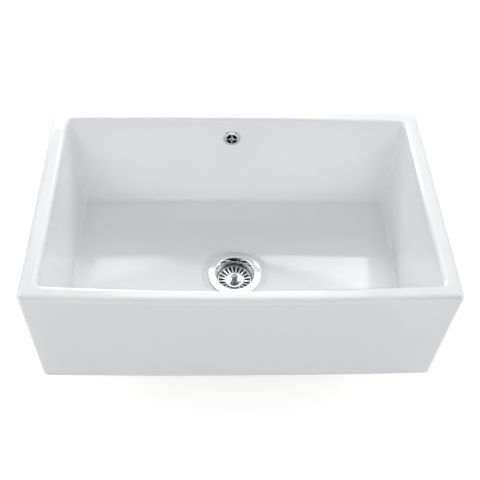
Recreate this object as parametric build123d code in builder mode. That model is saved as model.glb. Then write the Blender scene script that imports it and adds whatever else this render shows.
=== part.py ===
from build123d import *
from math import atan2, cos, hypot, pi, sin, tan
import os

# Farmhouse apron front sink with its basket strainer waste and its overflow.
# Millimetres. The origin is on the waste axis, in the plane that the base rests on.
# +X is to the right as one stands at the sink, +Y is towards the wall, +Z is up.

# ---- Driving dimensions ------------------------------------------------------------------

# Fireclay body, outside
body_width = 762.0
body_depth = 476.0            # at the sides, from the apron's plane to the back
body_height = 268.0
apron_bow_top = 9.4           # how far the apron's middle stands forward at the rim
apron_bow_bottom = 3.6        # and at the base
body_middle_x = 4.0           # the waste hole is this far left of the body's middle
waste_from_apron = 223.5      # waste axis to the apron's plane at the sides
corner_front_r = 11.0
corner_back_r = 15.0
rim_outer_r = 9.5
base_edge_r = 5.0

# Bowl
rim_side = 32.0
rim_front = 28.0
rim_back = 28.0
bowl_bow_back = 5.0
base_thickness = 35.0
draft_side = 5.0              # how far each wall comes in between the rim and the floor
draft_front = 8.0
draft_back = 12.6
bowl_corner_top_r = 10.0
bowl_corner_floor_r = 12.0
bowl_floor_r = 9.0
rim_inner_r = 8.5

# Seats in the fireclay
dish_slope = 9.0              # the width of its sloping rim
dish_depth = 3.0
land_relief_depth = 6.0       # the hollow under the base, open to the back
land_front = 60.0
land_side = 151.0
land_corner_r = 25.0

# Strainer waste
sheet = 1.2                   # cup
tight_bend = 0.6              # inside radii of the pressed sheet's bends
step_bend = 0.8
floor_bend = 2.0
flange_r = 57.2
flange_roll_r = 4.0
flange_lip_r = 2.0
flange_proud = 0.8            # polished flange above the bowl's floor
flange_lip_gap = 0.4          # rolled lip above the dished seat
cup_mouth_r = 41.0
cup_step_drop = 12.5          # first step, below the bowl's floor
cup_step_fall = 1.0
cup_throat_r = 38.0
cup_throat_low_r = 37.2
ledge_drop = 20.8             # the ledge that the basket rests on, below the bowl's floor
ledge_r = 34.8
cup_floor_r = 33.6
cup_floor_drop = 43.0
sump_top_r = 20.0
sump_low_r = 17.0
sump_depth = 9.0
drain_slots = 10
drain_slot_width = 3.0
drain_slot_in_r = 8.6
drain_slot_out_r = 15.0

# Basket and stopper
basket_sheet = 0.8
basket_dish_taper = 0.9
basket_dish_fall = 1.8
slot_ring_fall = 2.6
basket_disc_r = 19.8
basket_disc_fall = 3.9        # polished centre below the basket's rim
basket_slots = 20
basket_slot_width = 3.2
basket_slot_in_r = 21.6
basket_slot_land = 0.2        # from the slots' outer ends to the foot of the dish's wall
bush_r = 5.0
bush_flange_r = 6.4
bush_flange = 1.2
stem_r = 3.0
stem_chamfer = 0.4
knob_lip_r = 7.65
knob_lip = 1.6
knob_neck_r = 5.0
knob_neck_height = 6.2
knob_flare = (1, 0.35)        # the neck's direction where it meets the lip
knob_foot_r = 6.1
knob_height = 11.3
knob_socket = 7.0
seal_thickness = 3.0
seal_chamfer = 0.8
washer_r = 18.0
washer_thickness = 1.2
nut_flats = 9.0
nut_height = 3.2
stopper_lift = 8.0            # ends where the washer meets the bush

# Waste body under the sink
gasket_thickness = 3.0
gasket_r = 57.0
waste_wall = 3.0
waste_flange_r = 59.0
waste_flange = 4.0
waste_bowl_deep = 17.0        # from the waste body's top to the end of its wide part
waste_cone = 10.0
waste_lower_r = 34.0
waste_lower_deep = 57.0
waste_outlet_cone = 8.0
outlet_r = 23.9               # 1 1/2 inch pipe thread, outside
outlet_bore_r = 20.5
outlet_length = 38.0
boss_r = 9.0
boss_length = 26.0
spider_arms = 4
spider_arm = 3.0
spider_arm_top = 9.0          # arms start this far below the boss's top
insert_r = 5.0
insert_length = 12.0
screw_r = 3.0
screw_head_r = 6.0
screw_head = 3.6
screw_head_round = 1.2
screw_length = 26.0
hex_socket = 4.0
hex_socket_depth = 2.2
inlet_z = -38.0
inlet_reach = 84.0

# Overflow
overflow_x = -7.0
overflow_drop = 50.7
overflow_hole_r = 15.0
rose_r = 18.0
rose_dome = 3.2
rose_hub_r = 5.0
rose_dimple = 0.8
rose_sheet = 0.8
rose_seat_r = 14.6            # inner edge of the rose's flat rim
rose_slot_in_r = 5.8
rose_slot_out_r = 11.8
rose_spoke = 2.6
rose_spot_depth = 0.4         # flat ground into the bowl's back wall
rose_gasket = 1.0
rose_gasket_r = 17.0
rose_screw_r = 2.5
rose_screw_head_r = 4.0
rose_screw_head = 1.4
rose_screw_round = 0.8
rose_screw_length = 47.0
recess_width = 1.1
recess_length = 4.4
recess_depth = 0.8
elbow_flange_r = 24.0
elbow_flange = 3.0
elbow_r = 17.0
elbow_bore_r = 14.0
elbow_washer = 3.0            # at the middle; its back is square to the rose's axis
spout_setback = 30.0          # from the back of the sink to the spout's axis
spout_drop = 34.0             # from the elbow's axis to the spout's mouth
elbow_boss_r = 5.6
elbow_boss_length = 14.0
elbow_web = 2.0
elbow_insert_r = 3.6
elbow_insert_length = 11.0

# Hose and its compression joints
hose_crest_r = 12.0
hose_valley_r = 10.4
hose_bore_r = 9.0
hose_pitch = 4.4
rib_foot = 0.1                # shares of the pitch where a rib starts to rise and is full
rib_shoulder = 0.3
hose_bend_r = 86.0
hose_cuff = 34.0              # plain ends
cuff_depth = 12.0             # how far a cuff goes into its spigot
spigot_r = 13.2
nut_wall = 3.2
nut_grip = 11.0
nut_end = 2.5
nut_hole_r = 10.9
nut_ribs = 18
nut_rib = 1.6
nut_rib_proud = 0.8
cone_length = 5.0
cone_wide_r = 12.8
cone_narrow_r = 11.6

# Clearances
running = 0.05                # pins and bushes that turn or slide
assembly = 0.05               # parts pushed together
gasket_slack = 0.3
sheet_slack = 0.1             # basket between the bush's flanges
stop_gap = 0.3                # stopper's washer to the bush at the end of its lift
cup_in_hole = 2.8             # cup's outside to the waste hole
flange_in_dish = 4.8          # cup's flange to the foot of the dished seat
rim_in_throat = 1.0           # basket's rim inside the cup's throat
dish_in_ledge = 0.7           # basket's dish inside the ledge
seal_past_sump = 4.0          # stopper's seal beyond the sump's mouth
gasket_past_hole = 1.5        # waste gasket's hole beyond the waste hole
mouth_past_hole = 1.0         # waste body's mouth beyond the waste hole

# ---- Levels and places worked out from them ----------------------------------------------

floor_z = base_thickness
dish_z = floor_z - dish_depth
bowl_depth = body_height - base_thickness
front_y = -waste_from_apron
back_y = front_y + body_depth
underside_z = land_relief_depth

waste_hole_r = cup_mouth_r + sheet + cup_in_hole
dish_bottom_r = flange_r + flange_in_dish
dish_top_r = dish_bottom_r + dish_slope
gasket_hole_r = waste_hole_r + gasket_past_hole
waste_bowl_r = waste_hole_r + mouth_past_hole

basket_rim_r = cup_throat_low_r - rim_in_throat
basket_dish_r = ledge_r - dish_in_ledge
basket_dish_low_r = basket_dish_r - basket_dish_taper
basket_slot_out_r = basket_dish_low_r - basket_slot_land
seal_r = sump_top_r + seal_past_sump

flange_top_z = floor_z + flange_proud
ledge_z = floor_z - ledge_drop
cup_floor_z = floor_z - cup_floor_drop
sump_z = cup_floor_z - sump_depth
cup_bottom_z = sump_z - sheet

basket_top_z = ledge_z + basket_sheet
basket_disc_z = basket_top_z - basket_disc_fall
bush_top_z = basket_disc_z + sheet_slack + bush_flange
knob_top_z = bush_top_z + knob_height
seal_top_z = cup_floor_z + seal_thickness
nut_bottom_z = cup_floor_z - nut_height
bush_end_z = seal_top_z + washer_thickness + stopper_lift + stop_gap

waste_top_z = underside_z - gasket_thickness
waste_lower_z = waste_top_z - waste_lower_deep
outlet_top_z = waste_lower_z - waste_outlet_cone
outlet_end_z = outlet_top_z - outlet_length

# The back wall leans by its draft, and the overflow's axis is square to it.
lean = atan2(draft_back, bowl_depth)
overflow_z = body_height - overflow_drop
overflow_y = back_y - rim_back - overflow_drop * tan(lean)
overflow = Plane(
    origin=(overflow_x, overflow_y, overflow_z),
    x_dir=(1, 0, 0),
    z_dir=(0, -cos(lean), sin(lean)),
)
elbow_front = -((back_y - overflow_y) / cos(lean) + elbow_washer)
spout_y = back_y + spout_setback
elbow_reach = (spout_y - overflow_y) / cos(lean)
elbow_corner = overflow.offset(-elbow_reach).origin
spout_mouth_z = elbow_corner.Z - spout_drop

# The hose lies in the upright plane through the waste axis and the spout's axis.
spout_reach = hypot(overflow_x, spout_y)
toward_spout = Vector(overflow_x, spout_y, 0) / spout_reach
across = Vector(toward_spout.Y, -toward_spout.X, 0)
hose_plane = Plane(origin=(0, 0, 0), x_dir=toward_spout, z_dir=across)
spout_mouth = Plane(
    origin=(overflow_x, spout_y, spout_mouth_z), x_dir=across, z_dir=(0, 0, -1)
)
inlet_mouth = Plane(
    origin=toward_spout * inlet_reach + Vector(0, 0, inlet_z), x_dir=across, z_dir=toward_spout
)


# ---- Helpers -----------------------------------------------------------------------------

def section(plane):
    """The plane through the given plane's axis: local x is the radius, local y the height."""
    return Plane(origin=plane.origin, x_dir=plane.x_dir, z_dir=plane.x_dir.cross(plane.z_dir))


def axis_of(plane):
    """The axis through the given plane's origin."""
    return Axis(plane.origin, plane.z_dir)


def plan_outline(half_width, front, back, bow_front, bow_back, front_r, back_r):
    """A rectangle in plan with bowed front and back edges and rounded corners."""
    with BuildSketch() as outline:
        with BuildLine():
            Line((-half_width, back), (-half_width, front))
            ThreePointArc((-half_width, front), (0, front - bow_front), (half_width, front))
            Line((half_width, front), (half_width, back))
            if bow_back > 0:
                ThreePointArc((half_width, back), (0, back + bow_back), (-half_width, back))
            else:
                Line((half_width, back), (-half_width, back))
        make_face()
        fillet(corners_at(outline, front), front_r)
        fillet(corners_at(outline, back), back_r)
    return outline.sketch


def corners_at(outline, y):
    """The outline's corners at the given depth."""
    return [corner for corner in outline.vertices() if abs(corner.Y - y) < 1e-6]


def pressed_sheet(points, radii, thickness):
    """A section of constant thickness; the sheet lies on the left of the bent line."""
    with BuildSketch() as sketch:
        with BuildLine():
            face_line = FilletPolyline(*points, radius=radii)
            offset(face_line, amount=thickness, side=Side.LEFT)
        make_face()
    return sketch.sketch


def disc(plane, outer_r, height, inner_r=0.0):
    """A disc, or a ring, that stands on the plane; height below zero hangs from it."""
    with BuildSketch(plane) as sketch:
        Circle(outer_r)
        if inner_r > 0:
            Circle(inner_r, mode=Mode.SUBTRACT)
    extrude(sketch.sketch, amount=height)


def bore(plane, radius, depth):
    """A round hole from the plane, against its direction."""
    with BuildSketch(plane) as sketch:
        Circle(radius)
    extrude(sketch.sketch, amount=-depth, mode=Mode.SUBTRACT)


def save(piece, name):
    """Names the piece and writes it."""
    piece.part.label = name
    export_step(piece.part, f"parts/{name}.step")


os.makedirs("parts", exist_ok=True)


# ---- Fireclay body -----------------------------------------------------------------------

with BuildPart() as bowl_space:
    with BuildSketch(Plane(origin=(body_middle_x, 0, floor_z))):
        add(plan_outline(
            body_width / 2 - rim_side - draft_side,
            front_y + rim_front + draft_front,
            back_y - rim_back - bowl_bow_back - draft_back,
            apron_bow_top,
            bowl_bow_back,
            bowl_corner_floor_r,
            bowl_corner_floor_r,
        ))
    with BuildSketch(Plane(origin=(body_middle_x, 0, body_height))):
        add(plan_outline(
            body_width / 2 - rim_side,
            front_y + rim_front,
            back_y - rim_back - bowl_bow_back,
            apron_bow_top,
            bowl_bow_back,
            bowl_corner_top_r,
            bowl_corner_top_r,
        ))
    loft(ruled=True)
    fillet(bowl_space.faces().sort_by(Axis.Z)[0].edges(), bowl_floor_r)

with BuildPart() as sink_body:
    with BuildSketch(Plane(origin=(body_middle_x, 0, 0))):
        add(plan_outline(
            body_width / 2, front_y, back_y, apron_bow_bottom, 0, corner_front_r, corner_back_r
        ))
    with BuildSketch(Plane(origin=(body_middle_x, 0, body_height))):
        add(plan_outline(
            body_width / 2, front_y, back_y, apron_bow_top, 0, corner_front_r, corner_back_r
        ))
    loft(ruled=True)
    fillet(sink_body.faces().sort_by(Axis.Z)[-1].edges(), rim_outer_r)
    fillet(sink_body.faces().sort_by(Axis.Z)[0].edges(), base_edge_r)
    add(bowl_space.part, mode=Mode.SUBTRACT)
    rim_top = sink_body.faces().filter_by(Plane.XY).sort_by(Axis.Z)[-1]
    fillet(rim_top.inner_wires().edges(), rim_inner_r)

    # The dished seat round the waste hole, and the hole
    with BuildSketch(section(Plane.XY)):
        Polygon(
            (0, floor_z + rim_inner_r),
            (dish_top_r, floor_z + rim_inner_r),
            (dish_top_r, floor_z),
            (dish_bottom_r, dish_z),
            (0, dish_z),
            align=None,
        )
    revolve(axis=Axis.Z, mode=Mode.SUBTRACT)
    bore(Plane.XY.offset(dish_z), waste_hole_r, dish_z)

    # The hollow under the base runs out at the back and leaves a land on the other three sides
    relief_front = front_y + land_front
    relief_length = 2 * (back_y - relief_front)
    with BuildSketch(Plane(origin=(body_middle_x, relief_front + relief_length / 2, 0))):
        RectangleRounded(body_width - 2 * land_side, relief_length, land_corner_r)
    extrude(amount=land_relief_depth, mode=Mode.SUBTRACT)

    # The overflow hole, with a flat spot for the rose's gasket
    bore(overflow.offset(rose_spot_depth), rose_r + gasket_slack, 2 * rose_spot_depth)
    bore(overflow, overflow_hole_r, 2 * rim_back)
save(sink_body, "sink_body")


# ---- Strainer cup and what clamps it -----------------------------------------------------

with BuildPart() as strainer_cup:
    with BuildSketch(section(Plane.XY)):
        add(pressed_sheet(
            [
                (flange_r, dish_z + flange_lip_gap),
                (flange_r, flange_top_z),
                (cup_mouth_r, flange_top_z),
                (cup_mouth_r, floor_z - cup_step_drop),
                (cup_throat_r, floor_z - cup_step_drop - cup_step_fall),
                (cup_throat_low_r, ledge_z),
                (ledge_r, ledge_z),
                (cup_floor_r, cup_floor_z),
                (sump_top_r, cup_floor_z),
                (sump_low_r, sump_z),
                (screw_r + assembly, sump_z),
            ],
            [
                flange_lip_r,
                flange_roll_r,
                step_bend,
                step_bend,
                tight_bend,
                tight_bend,
                floor_bend,
                step_bend,
                step_bend,
            ],
            sheet,
        ))
    revolve(axis=Axis.Z)
    with BuildSketch(Plane.XY.offset(sump_z)):
        with PolarLocations((drain_slot_in_r + drain_slot_out_r) / 2, drain_slots):
            SlotOverall(drain_slot_out_r - drain_slot_in_r, drain_slot_width)
    extrude(amount=-2 * sheet, mode=Mode.SUBTRACT)
save(strainer_cup, "strainer_cup")

with BuildPart() as flange_seal:
    seal_inner_r = cup_mouth_r + flange_roll_r + gasket_slack
    seal_outer_r = flange_r - flange_lip_r - gasket_slack
    disc(Plane.XY.offset(dish_z), seal_outer_r, flange_top_z - sheet - dish_z, seal_inner_r)
save(flange_seal, "flange_seal")

with BuildPart() as waste_gasket:
    disc(Plane.XY.offset(waste_top_z), gasket_r, gasket_thickness, gasket_hole_r)
save(waste_gasket, "waste_gasket")

with BuildPart() as fixing_screw:
    disc(Plane.XY.offset(sump_z), screw_head_r, screw_head)
    fillet(fixing_screw.edges().sort_by(Axis.Z)[-1], screw_head_round)
    disc(Plane.XY.offset(sump_z), screw_r, -screw_length)
    with BuildSketch(Plane.XY.offset(sump_z + screw_head)):
        RegularPolygon(hex_socket / 2, 6, major_radius=False)
    extrude(amount=-hex_socket_depth, mode=Mode.SUBTRACT)
save(fixing_screw, "fixing_screw")

insert_top_z = cup_bottom_z - boss_length + insert_length
with BuildPart() as waste_insert:
    disc(Plane.XY.offset(insert_top_z - insert_length), insert_r, insert_length, screw_r + assembly)
save(waste_insert, "waste_insert")


# ---- Basket ------------------------------------------------------------------------------

with BuildPart() as basket_shell:
    with BuildSketch(section(Plane.XY)):
        add(pressed_sheet(
            [
                (basket_rim_r, basket_top_z),
                (basket_dish_r, basket_top_z),
                (basket_dish_low_r, basket_top_z - basket_dish_fall),
                (basket_slot_in_r, basket_top_z - basket_dish_fall - slot_ring_fall),
                (basket_disc_r, basket_disc_z),
                (bush_r + running, basket_disc_z),
            ],
            [tight_bend, tight_bend, step_bend, tight_bend],
            basket_sheet,
        ))
    revolve(axis=Axis.Z)
    with BuildSketch(Plane.XY.offset(basket_disc_z - 2 * basket_sheet)):
        with PolarLocations((basket_slot_in_r + basket_slot_out_r) / 2, basket_slots):
            SlotOverall(basket_slot_out_r - basket_slot_in_r, basket_slot_width)
    extrude(amount=8 * basket_sheet, mode=Mode.SUBTRACT)
save(basket_shell, "basket_shell")

with BuildPart() as basket_bush:
    bush_low_z = basket_disc_z - basket_sheet - sheet_slack
    disc(Plane.XY.offset(bush_top_z), bush_flange_r, -bush_flange)
    disc(Plane.XY.offset(bush_top_z - bush_flange), bush_r, bush_low_z - bush_top_z + bush_flange)
    disc(Plane.XY.offset(bush_low_z), bush_flange_r, -bush_flange)
    disc(Plane.XY.offset(bush_low_z), bush_r, bush_end_z - bush_low_z)
    bore(Plane.XY.offset(bush_top_z), stem_r + running, body_height)
save(basket_bush, "basket_bush")

with BuildPart() as knob:
    with BuildSketch(section(Plane.XY)):
        with BuildLine():
            Polyline(
                (0, bush_top_z),
                (knob_foot_r, bush_top_z),
                (knob_foot_r, bush_top_z + knob_lip),
            )
            Spline(
                (knob_foot_r, bush_top_z + knob_lip),
                (knob_neck_r, bush_top_z + knob_neck_height),
                (knob_lip_r, knob_top_z - knob_lip),
                tangents=[(0, 1), knob_flare],
            )
            Polyline((knob_lip_r, knob_top_z - knob_lip), (knob_lip_r, knob_top_z), (0, knob_top_z))
            Line((0, knob_top_z), (0, bush_top_z))
        make_face()
    revolve(axis=Axis.Z)
    fillet(knob.edges().group_by(Axis.Z)[-1], knob_lip / 2)
    bore(Plane.XY.offset(bush_top_z + knob_socket), stem_r + assembly, knob_socket)
save(knob, "knob")

with BuildPart() as stem:
    disc(Plane.XY.offset(bush_top_z + knob_socket), stem_r, nut_bottom_z - bush_top_z - knob_socket)
    chamfer(stem.edges().filter_by(GeomType.CIRCLE), stem_chamfer)
save(stem, "stem")

with BuildPart() as stopper_seal:
    disc(Plane.XY.offset(cup_floor_z), seal_r, seal_thickness, stem_r + assembly)
    rim_edges = stopper_seal.edges().filter_by(GeomType.CIRCLE).sort_by(SortBy.RADIUS)[-2:]
    chamfer(rim_edges, seal_chamfer)
save(stopper_seal, "stopper_seal")

with BuildPart() as seal_washer:
    disc(Plane.XY.offset(seal_top_z), washer_r, washer_thickness, stem_r + assembly)
save(seal_washer, "seal_washer")

with BuildPart() as stem_nut:
    with BuildSketch(Plane.XY.offset(cup_floor_z)):
        RegularPolygon(nut_flats / 2, 6, major_radius=False)
    extrude(amount=-nut_height)
    bore(Plane.XY.offset(cup_floor_z), stem_r + assembly, nut_height)
save(stem_nut, "stem_nut")


# ---- Waste body --------------------------------------------------------------------------

def spigot(mouth, length):
    """The outside of a threaded spigot that ends at the mouth."""
    disc(mouth, spigot_r, -length)


def spigot_bore(mouth, length):
    """Its waterway, with the wider socket that the hose's cuff goes into."""
    bore(mouth, hose_bore_r, length)
    bore(mouth, hose_valley_r + assembly, cuff_depth)


cone_end_z = waste_top_z - waste_bowl_deep - waste_cone
with BuildPart() as waste_body:
    disc(Plane.XY.offset(waste_top_z), waste_flange_r, -waste_flange)
    with BuildSketch(section(Plane.XY)):
        Polygon(
            (0, waste_top_z),
            (waste_bowl_r + waste_wall, waste_top_z),
            (waste_bowl_r + waste_wall, waste_top_z - waste_bowl_deep),
            (waste_lower_r + waste_wall, cone_end_z),
            (waste_lower_r + waste_wall, waste_lower_z),
            (outlet_r, outlet_top_z),
            (outlet_r, outlet_end_z),
            (0, outlet_end_z),
            align=None,
        )
    revolve(axis=Axis.Z)
    spigot(inlet_mouth, inlet_reach - waste_lower_r)
    with BuildSketch(section(Plane.XY)):
        Polygon(
            (0, waste_top_z),
            (waste_bowl_r, waste_top_z),
            (waste_bowl_r, waste_top_z - waste_bowl_deep),
            (waste_lower_r, cone_end_z),
            (waste_lower_r, waste_lower_z),
            (outlet_bore_r, outlet_top_z),
            (outlet_bore_r, outlet_end_z),
            (0, outlet_end_z),
            align=None,
        )
    revolve(axis=Axis.Z, mode=Mode.SUBTRACT)
    spigot_bore(inlet_mouth, inlet_reach - waste_lower_r + waste_wall)
    boss_low_z = cup_bottom_z - boss_length
    with BuildSketch(Plane.XY.offset(boss_low_z)):
        with PolarLocations((waste_lower_r + waste_wall / 2) / 2, spider_arms, start_angle=45):
            Rectangle(waste_lower_r + waste_wall / 2, spider_arm)
    extrude(amount=boss_length - spider_arm_top)
    disc(Plane.XY.offset(cup_bottom_z), boss_r, -boss_length)
    bore(Plane.XY.offset(cup_bottom_z), screw_r + gasket_slack, boss_length)
    bore(Plane.XY.offset(insert_top_z), insert_r, insert_length)
save(waste_body, "waste_body")


# ---- Overflow rose -----------------------------------------------------------------------

rose_top = rose_dome + rose_sheet
rose_face = overflow.offset(rose_top - rose_dimple)
with BuildPart() as overflow_cover:
    rim_under = rose_gasket - rose_spot_depth
    with BuildSketch(section(overflow)):
        with BuildLine():
            Polyline(
                (rose_screw_r + assembly, rose_top - rose_dimple),
                (rose_hub_r - rose_dimple, rose_top - rose_dimple),
                (rose_hub_r, rose_top),
            )
            ThreePointArc(
                (rose_hub_r, rose_top),
                ((rose_hub_r + rose_r) / 2, rose_top - rose_sheet / 2),
                (rose_r, rim_under + rose_sheet / 2),
            )
            Polyline(
                (rose_r, rim_under + rose_sheet / 2),
                (rose_r, rim_under / 2),
                (rose_gasket_r + gasket_slack, rim_under / 2),
                (rose_gasket_r + gasket_slack, rim_under),
                (rose_seat_r, rim_under),
                (rose_slot_out_r, rose_top - 2.5 * rose_sheet),
                (rose_screw_r + assembly, rose_top - 2.5 * rose_sheet),
                (rose_screw_r + assembly, rose_top - rose_dimple),
            )
        make_face()
    revolve(axis=axis_of(overflow))
    with BuildSketch(overflow):
        Circle(rose_slot_out_r)
        Circle(rose_slot_in_r, mode=Mode.SUBTRACT)
        Rectangle(rose_spoke, 2 * rose_r, mode=Mode.SUBTRACT)
        Rectangle(2 * rose_r, rose_spoke, mode=Mode.SUBTRACT)
    extrude(amount=2 * rose_top, mode=Mode.SUBTRACT)
save(overflow_cover, "overflow_cover")

with BuildPart() as overflow_gasket:
    disc(overflow.offset(-rose_spot_depth), rose_gasket_r, rose_gasket, overflow_hole_r)
save(overflow_gasket, "overflow_gasket")

with BuildPart() as overflow_screw:
    disc(rose_face, rose_screw_head_r, rose_screw_head)
    fillet(overflow_screw.edges().sort_by(axis_of(overflow))[-1], rose_screw_round)
    with BuildSketch(rose_face.offset(rose_screw_head)):
        Rectangle(recess_length, recess_width)
        Rectangle(recess_width, recess_length)
    extrude(amount=-recess_depth, mode=Mode.SUBTRACT)
    disc(rose_face, rose_screw_r, -rose_screw_length)
save(overflow_screw, "overflow_screw")


# ---- Overflow elbow ----------------------------------------------------------------------

elbow_face = overflow.offset(elbow_front)
with BuildPart() as overflow_washer:
    disc(elbow_face, elbow_flange_r, 3 * elbow_washer, overflow_hole_r)
    split(bisect_by=Plane(origin=(0, back_y, 0), z_dir=(0, 1, 0)), keep=Keep.TOP)
save(overflow_washer, "overflow_washer")

with BuildPart() as overflow_elbow:
    disc(elbow_face, elbow_flange_r, -elbow_flange)
    disc(elbow_face, elbow_r, -(elbow_reach + elbow_front))
    with Locations(elbow_corner):
        Sphere(elbow_r)
    spigot(spout_mouth, spout_drop)
    bore(elbow_face, elbow_bore_r, elbow_reach + elbow_front)
    with Locations(elbow_corner):
        Sphere(elbow_bore_r, mode=Mode.SUBTRACT)
    spigot_bore(spout_mouth, spout_drop)
    with BuildSketch(elbow_face):
        Rectangle(2 * elbow_bore_r + elbow_web, elbow_web)
        Rectangle(elbow_web, 2 * elbow_bore_r + elbow_web)
        Circle(elbow_boss_r)
        Circle(elbow_insert_r, mode=Mode.SUBTRACT)
    extrude(amount=-elbow_boss_length)
save(overflow_elbow, "overflow_elbow")

with BuildPart() as overflow_insert:
    disc(elbow_face, elbow_insert_r, -elbow_insert_length, rose_screw_r + assembly)
save(overflow_insert, "overflow_insert")


# ---- Hose and its joints -----------------------------------------------------------------

def hose_nut(mouth):
    """A compression nut on the spigot that ends at the mouth."""
    outer_r = spigot_r + assembly + nut_wall
    full_length = nut_grip + cone_length + nut_end
    with BuildPart() as nut:
        disc(mouth.offset(-nut_grip), outer_r, full_length)
        with BuildSketch(mouth.offset(-nut_grip)):
            with PolarLocations(outer_r, nut_ribs):
                Rectangle(2 * nut_rib_proud, nut_rib)
        extrude(amount=full_length)
        bore(mouth.offset(cone_length), spigot_r + assembly, nut_grip + cone_length)
        bore(mouth.offset(cone_length + nut_end), nut_hole_r, nut_end)
    return nut


def hose_cone(mouth):
    """The tapered rubber seal between the spigot's end and the nut's."""
    with BuildPart() as cone:
        with BuildSketch(section(mouth)):
            Polygon(
                (hose_valley_r + assembly, 0),
                (cone_wide_r, 0),
                (cone_narrow_r, cone_length),
                (hose_valley_r + assembly, cone_length),
                align=None,
            )
        revolve(axis=axis_of(mouth))
    return cone


save(hose_nut(spout_mouth), "upper_hose_nut")
save(hose_cone(spout_mouth), "upper_hose_seal")
save(hose_nut(inlet_mouth), "lower_hose_nut")
save(hose_cone(inlet_mouth), "lower_hose_seal")

# The route: down behind the sink, a quarter turn under its back edge, in to the waste body
hose_top_z = spout_mouth_z + cuff_depth
hose_end_reach = inlet_reach - cuff_depth
bend_reach = spout_reach - hose_bend_r
bend_z = inlet_z + hose_bend_r
run_down = hose_top_z - bend_z
run_bend = hose_bend_r * pi / 2
run_in = bend_reach - hose_end_reach
hose_length = run_down + run_bend + run_in


def hose_station(distance):
    """The plane square to the hose at this distance from its top end."""
    if distance < run_down:
        turn = 0.0
        reach = spout_reach
        height = hose_top_z - distance
    elif distance < run_down + run_bend:
        turn = (distance - run_down) / hose_bend_r
        reach = bend_reach + hose_bend_r * cos(turn)
        height = bend_z - hose_bend_r * sin(turn)
    else:
        turn = pi / 2
        reach = bend_reach - (distance - run_down - run_bend)
        height = inlet_z
    direction = toward_spout * -sin(turn) + Vector(0, 0, -cos(turn))
    return Plane(
        origin=toward_spout * reach + Vector(0, 0, height), x_dir=across, z_dir=direction
    )


hose_ribs = int((hose_length - 2 * hose_cuff) / hose_pitch)
first_rib = (hose_length - hose_ribs * hose_pitch) / 2
with BuildPart() as overflow_hose:
    with BuildSketch(hose_station(0)):
        Circle(hose_valley_r)
    for rib in range(hose_ribs):
        for share, radius in (
            (rib_foot, hose_valley_r),
            (rib_shoulder, hose_crest_r),
            (1 - rib_shoulder, hose_crest_r),
            (1 - rib_foot, hose_valley_r),
        ):
            with BuildSketch(hose_station(first_rib + (rib + share) * hose_pitch)):
                Circle(radius)
    with BuildSketch(hose_station(hose_length)):
        Circle(hose_valley_r)
    loft(ruled=True)
    with BuildLine(hose_plane) as route:
        Line((spout_reach, hose_top_z), (spout_reach, bend_z))
        CenterArc((bend_reach, bend_z), hose_bend_r, 0, -90)
        Line((bend_reach, inlet_z), (hose_end_reach, inlet_z))
    with BuildSketch(hose_station(0)):
        Circle(hose_bore_r)
    sweep(path=route.wires()[0], mode=Mode.SUBTRACT)
save(overflow_hose, "overflow_hose")

# The hose comes nearest to itself across the inside of its bend, from top run to bottom run.
ends_apart = hypot(spout_reach - hose_end_reach, hose_top_z - inlet_z) - 2 * hose_crest_r
print(f"hose {hose_length:.0f} mm, {hose_ribs} ribs, bend {hose_bend_r:.0f} mm")
print(f"between the hose's ends {ends_apart:.0f} mm")
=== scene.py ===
"""Looks of a farmhouse apron front sink with its basket strainer waste and its overflow.

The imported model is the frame. Every finish below is procedural and every modelled piece is in the
model's own frame: metres, the origin on the waste axis in the plane that the base rests on, +X to
the right, +Y towards the wall and +Z up.
"""
from __future__ import annotations

import logging
import math
from dataclasses import dataclass
from enum import Enum
from typing import Callable, Sequence

import bpy
from mathutils import Matrix, Vector

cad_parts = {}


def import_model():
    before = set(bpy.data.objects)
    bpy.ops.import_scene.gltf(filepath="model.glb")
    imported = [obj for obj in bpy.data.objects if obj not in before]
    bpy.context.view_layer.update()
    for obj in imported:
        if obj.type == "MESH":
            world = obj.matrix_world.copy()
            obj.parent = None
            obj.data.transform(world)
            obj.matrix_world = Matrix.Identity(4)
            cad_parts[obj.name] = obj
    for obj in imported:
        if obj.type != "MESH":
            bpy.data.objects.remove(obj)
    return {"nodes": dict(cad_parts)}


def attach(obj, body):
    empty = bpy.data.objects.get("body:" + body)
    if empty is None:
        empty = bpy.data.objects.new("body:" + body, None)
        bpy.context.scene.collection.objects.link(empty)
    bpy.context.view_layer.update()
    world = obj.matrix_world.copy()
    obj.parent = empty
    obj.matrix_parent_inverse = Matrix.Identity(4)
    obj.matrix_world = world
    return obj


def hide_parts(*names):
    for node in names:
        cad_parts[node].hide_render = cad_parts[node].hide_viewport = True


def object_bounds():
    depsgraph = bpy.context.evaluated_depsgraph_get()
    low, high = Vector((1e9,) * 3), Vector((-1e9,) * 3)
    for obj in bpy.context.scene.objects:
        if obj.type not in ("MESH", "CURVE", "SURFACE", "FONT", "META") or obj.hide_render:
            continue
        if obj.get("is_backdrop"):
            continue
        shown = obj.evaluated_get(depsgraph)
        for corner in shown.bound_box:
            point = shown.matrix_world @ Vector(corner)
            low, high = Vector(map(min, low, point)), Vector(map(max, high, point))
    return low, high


LOG = logging.getLogger("sink")
MM = 0.001
TOUCH = 1e-6
Colour = tuple[float, float, float]
Point = tuple[float, float]
Piece = bpy.types.Object
Socket = bpy.types.NodeSocket
Mixable = Socket | float | tuple[float, ...]


# ---- Finishes ---------------------------------------------------------------------------------


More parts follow.
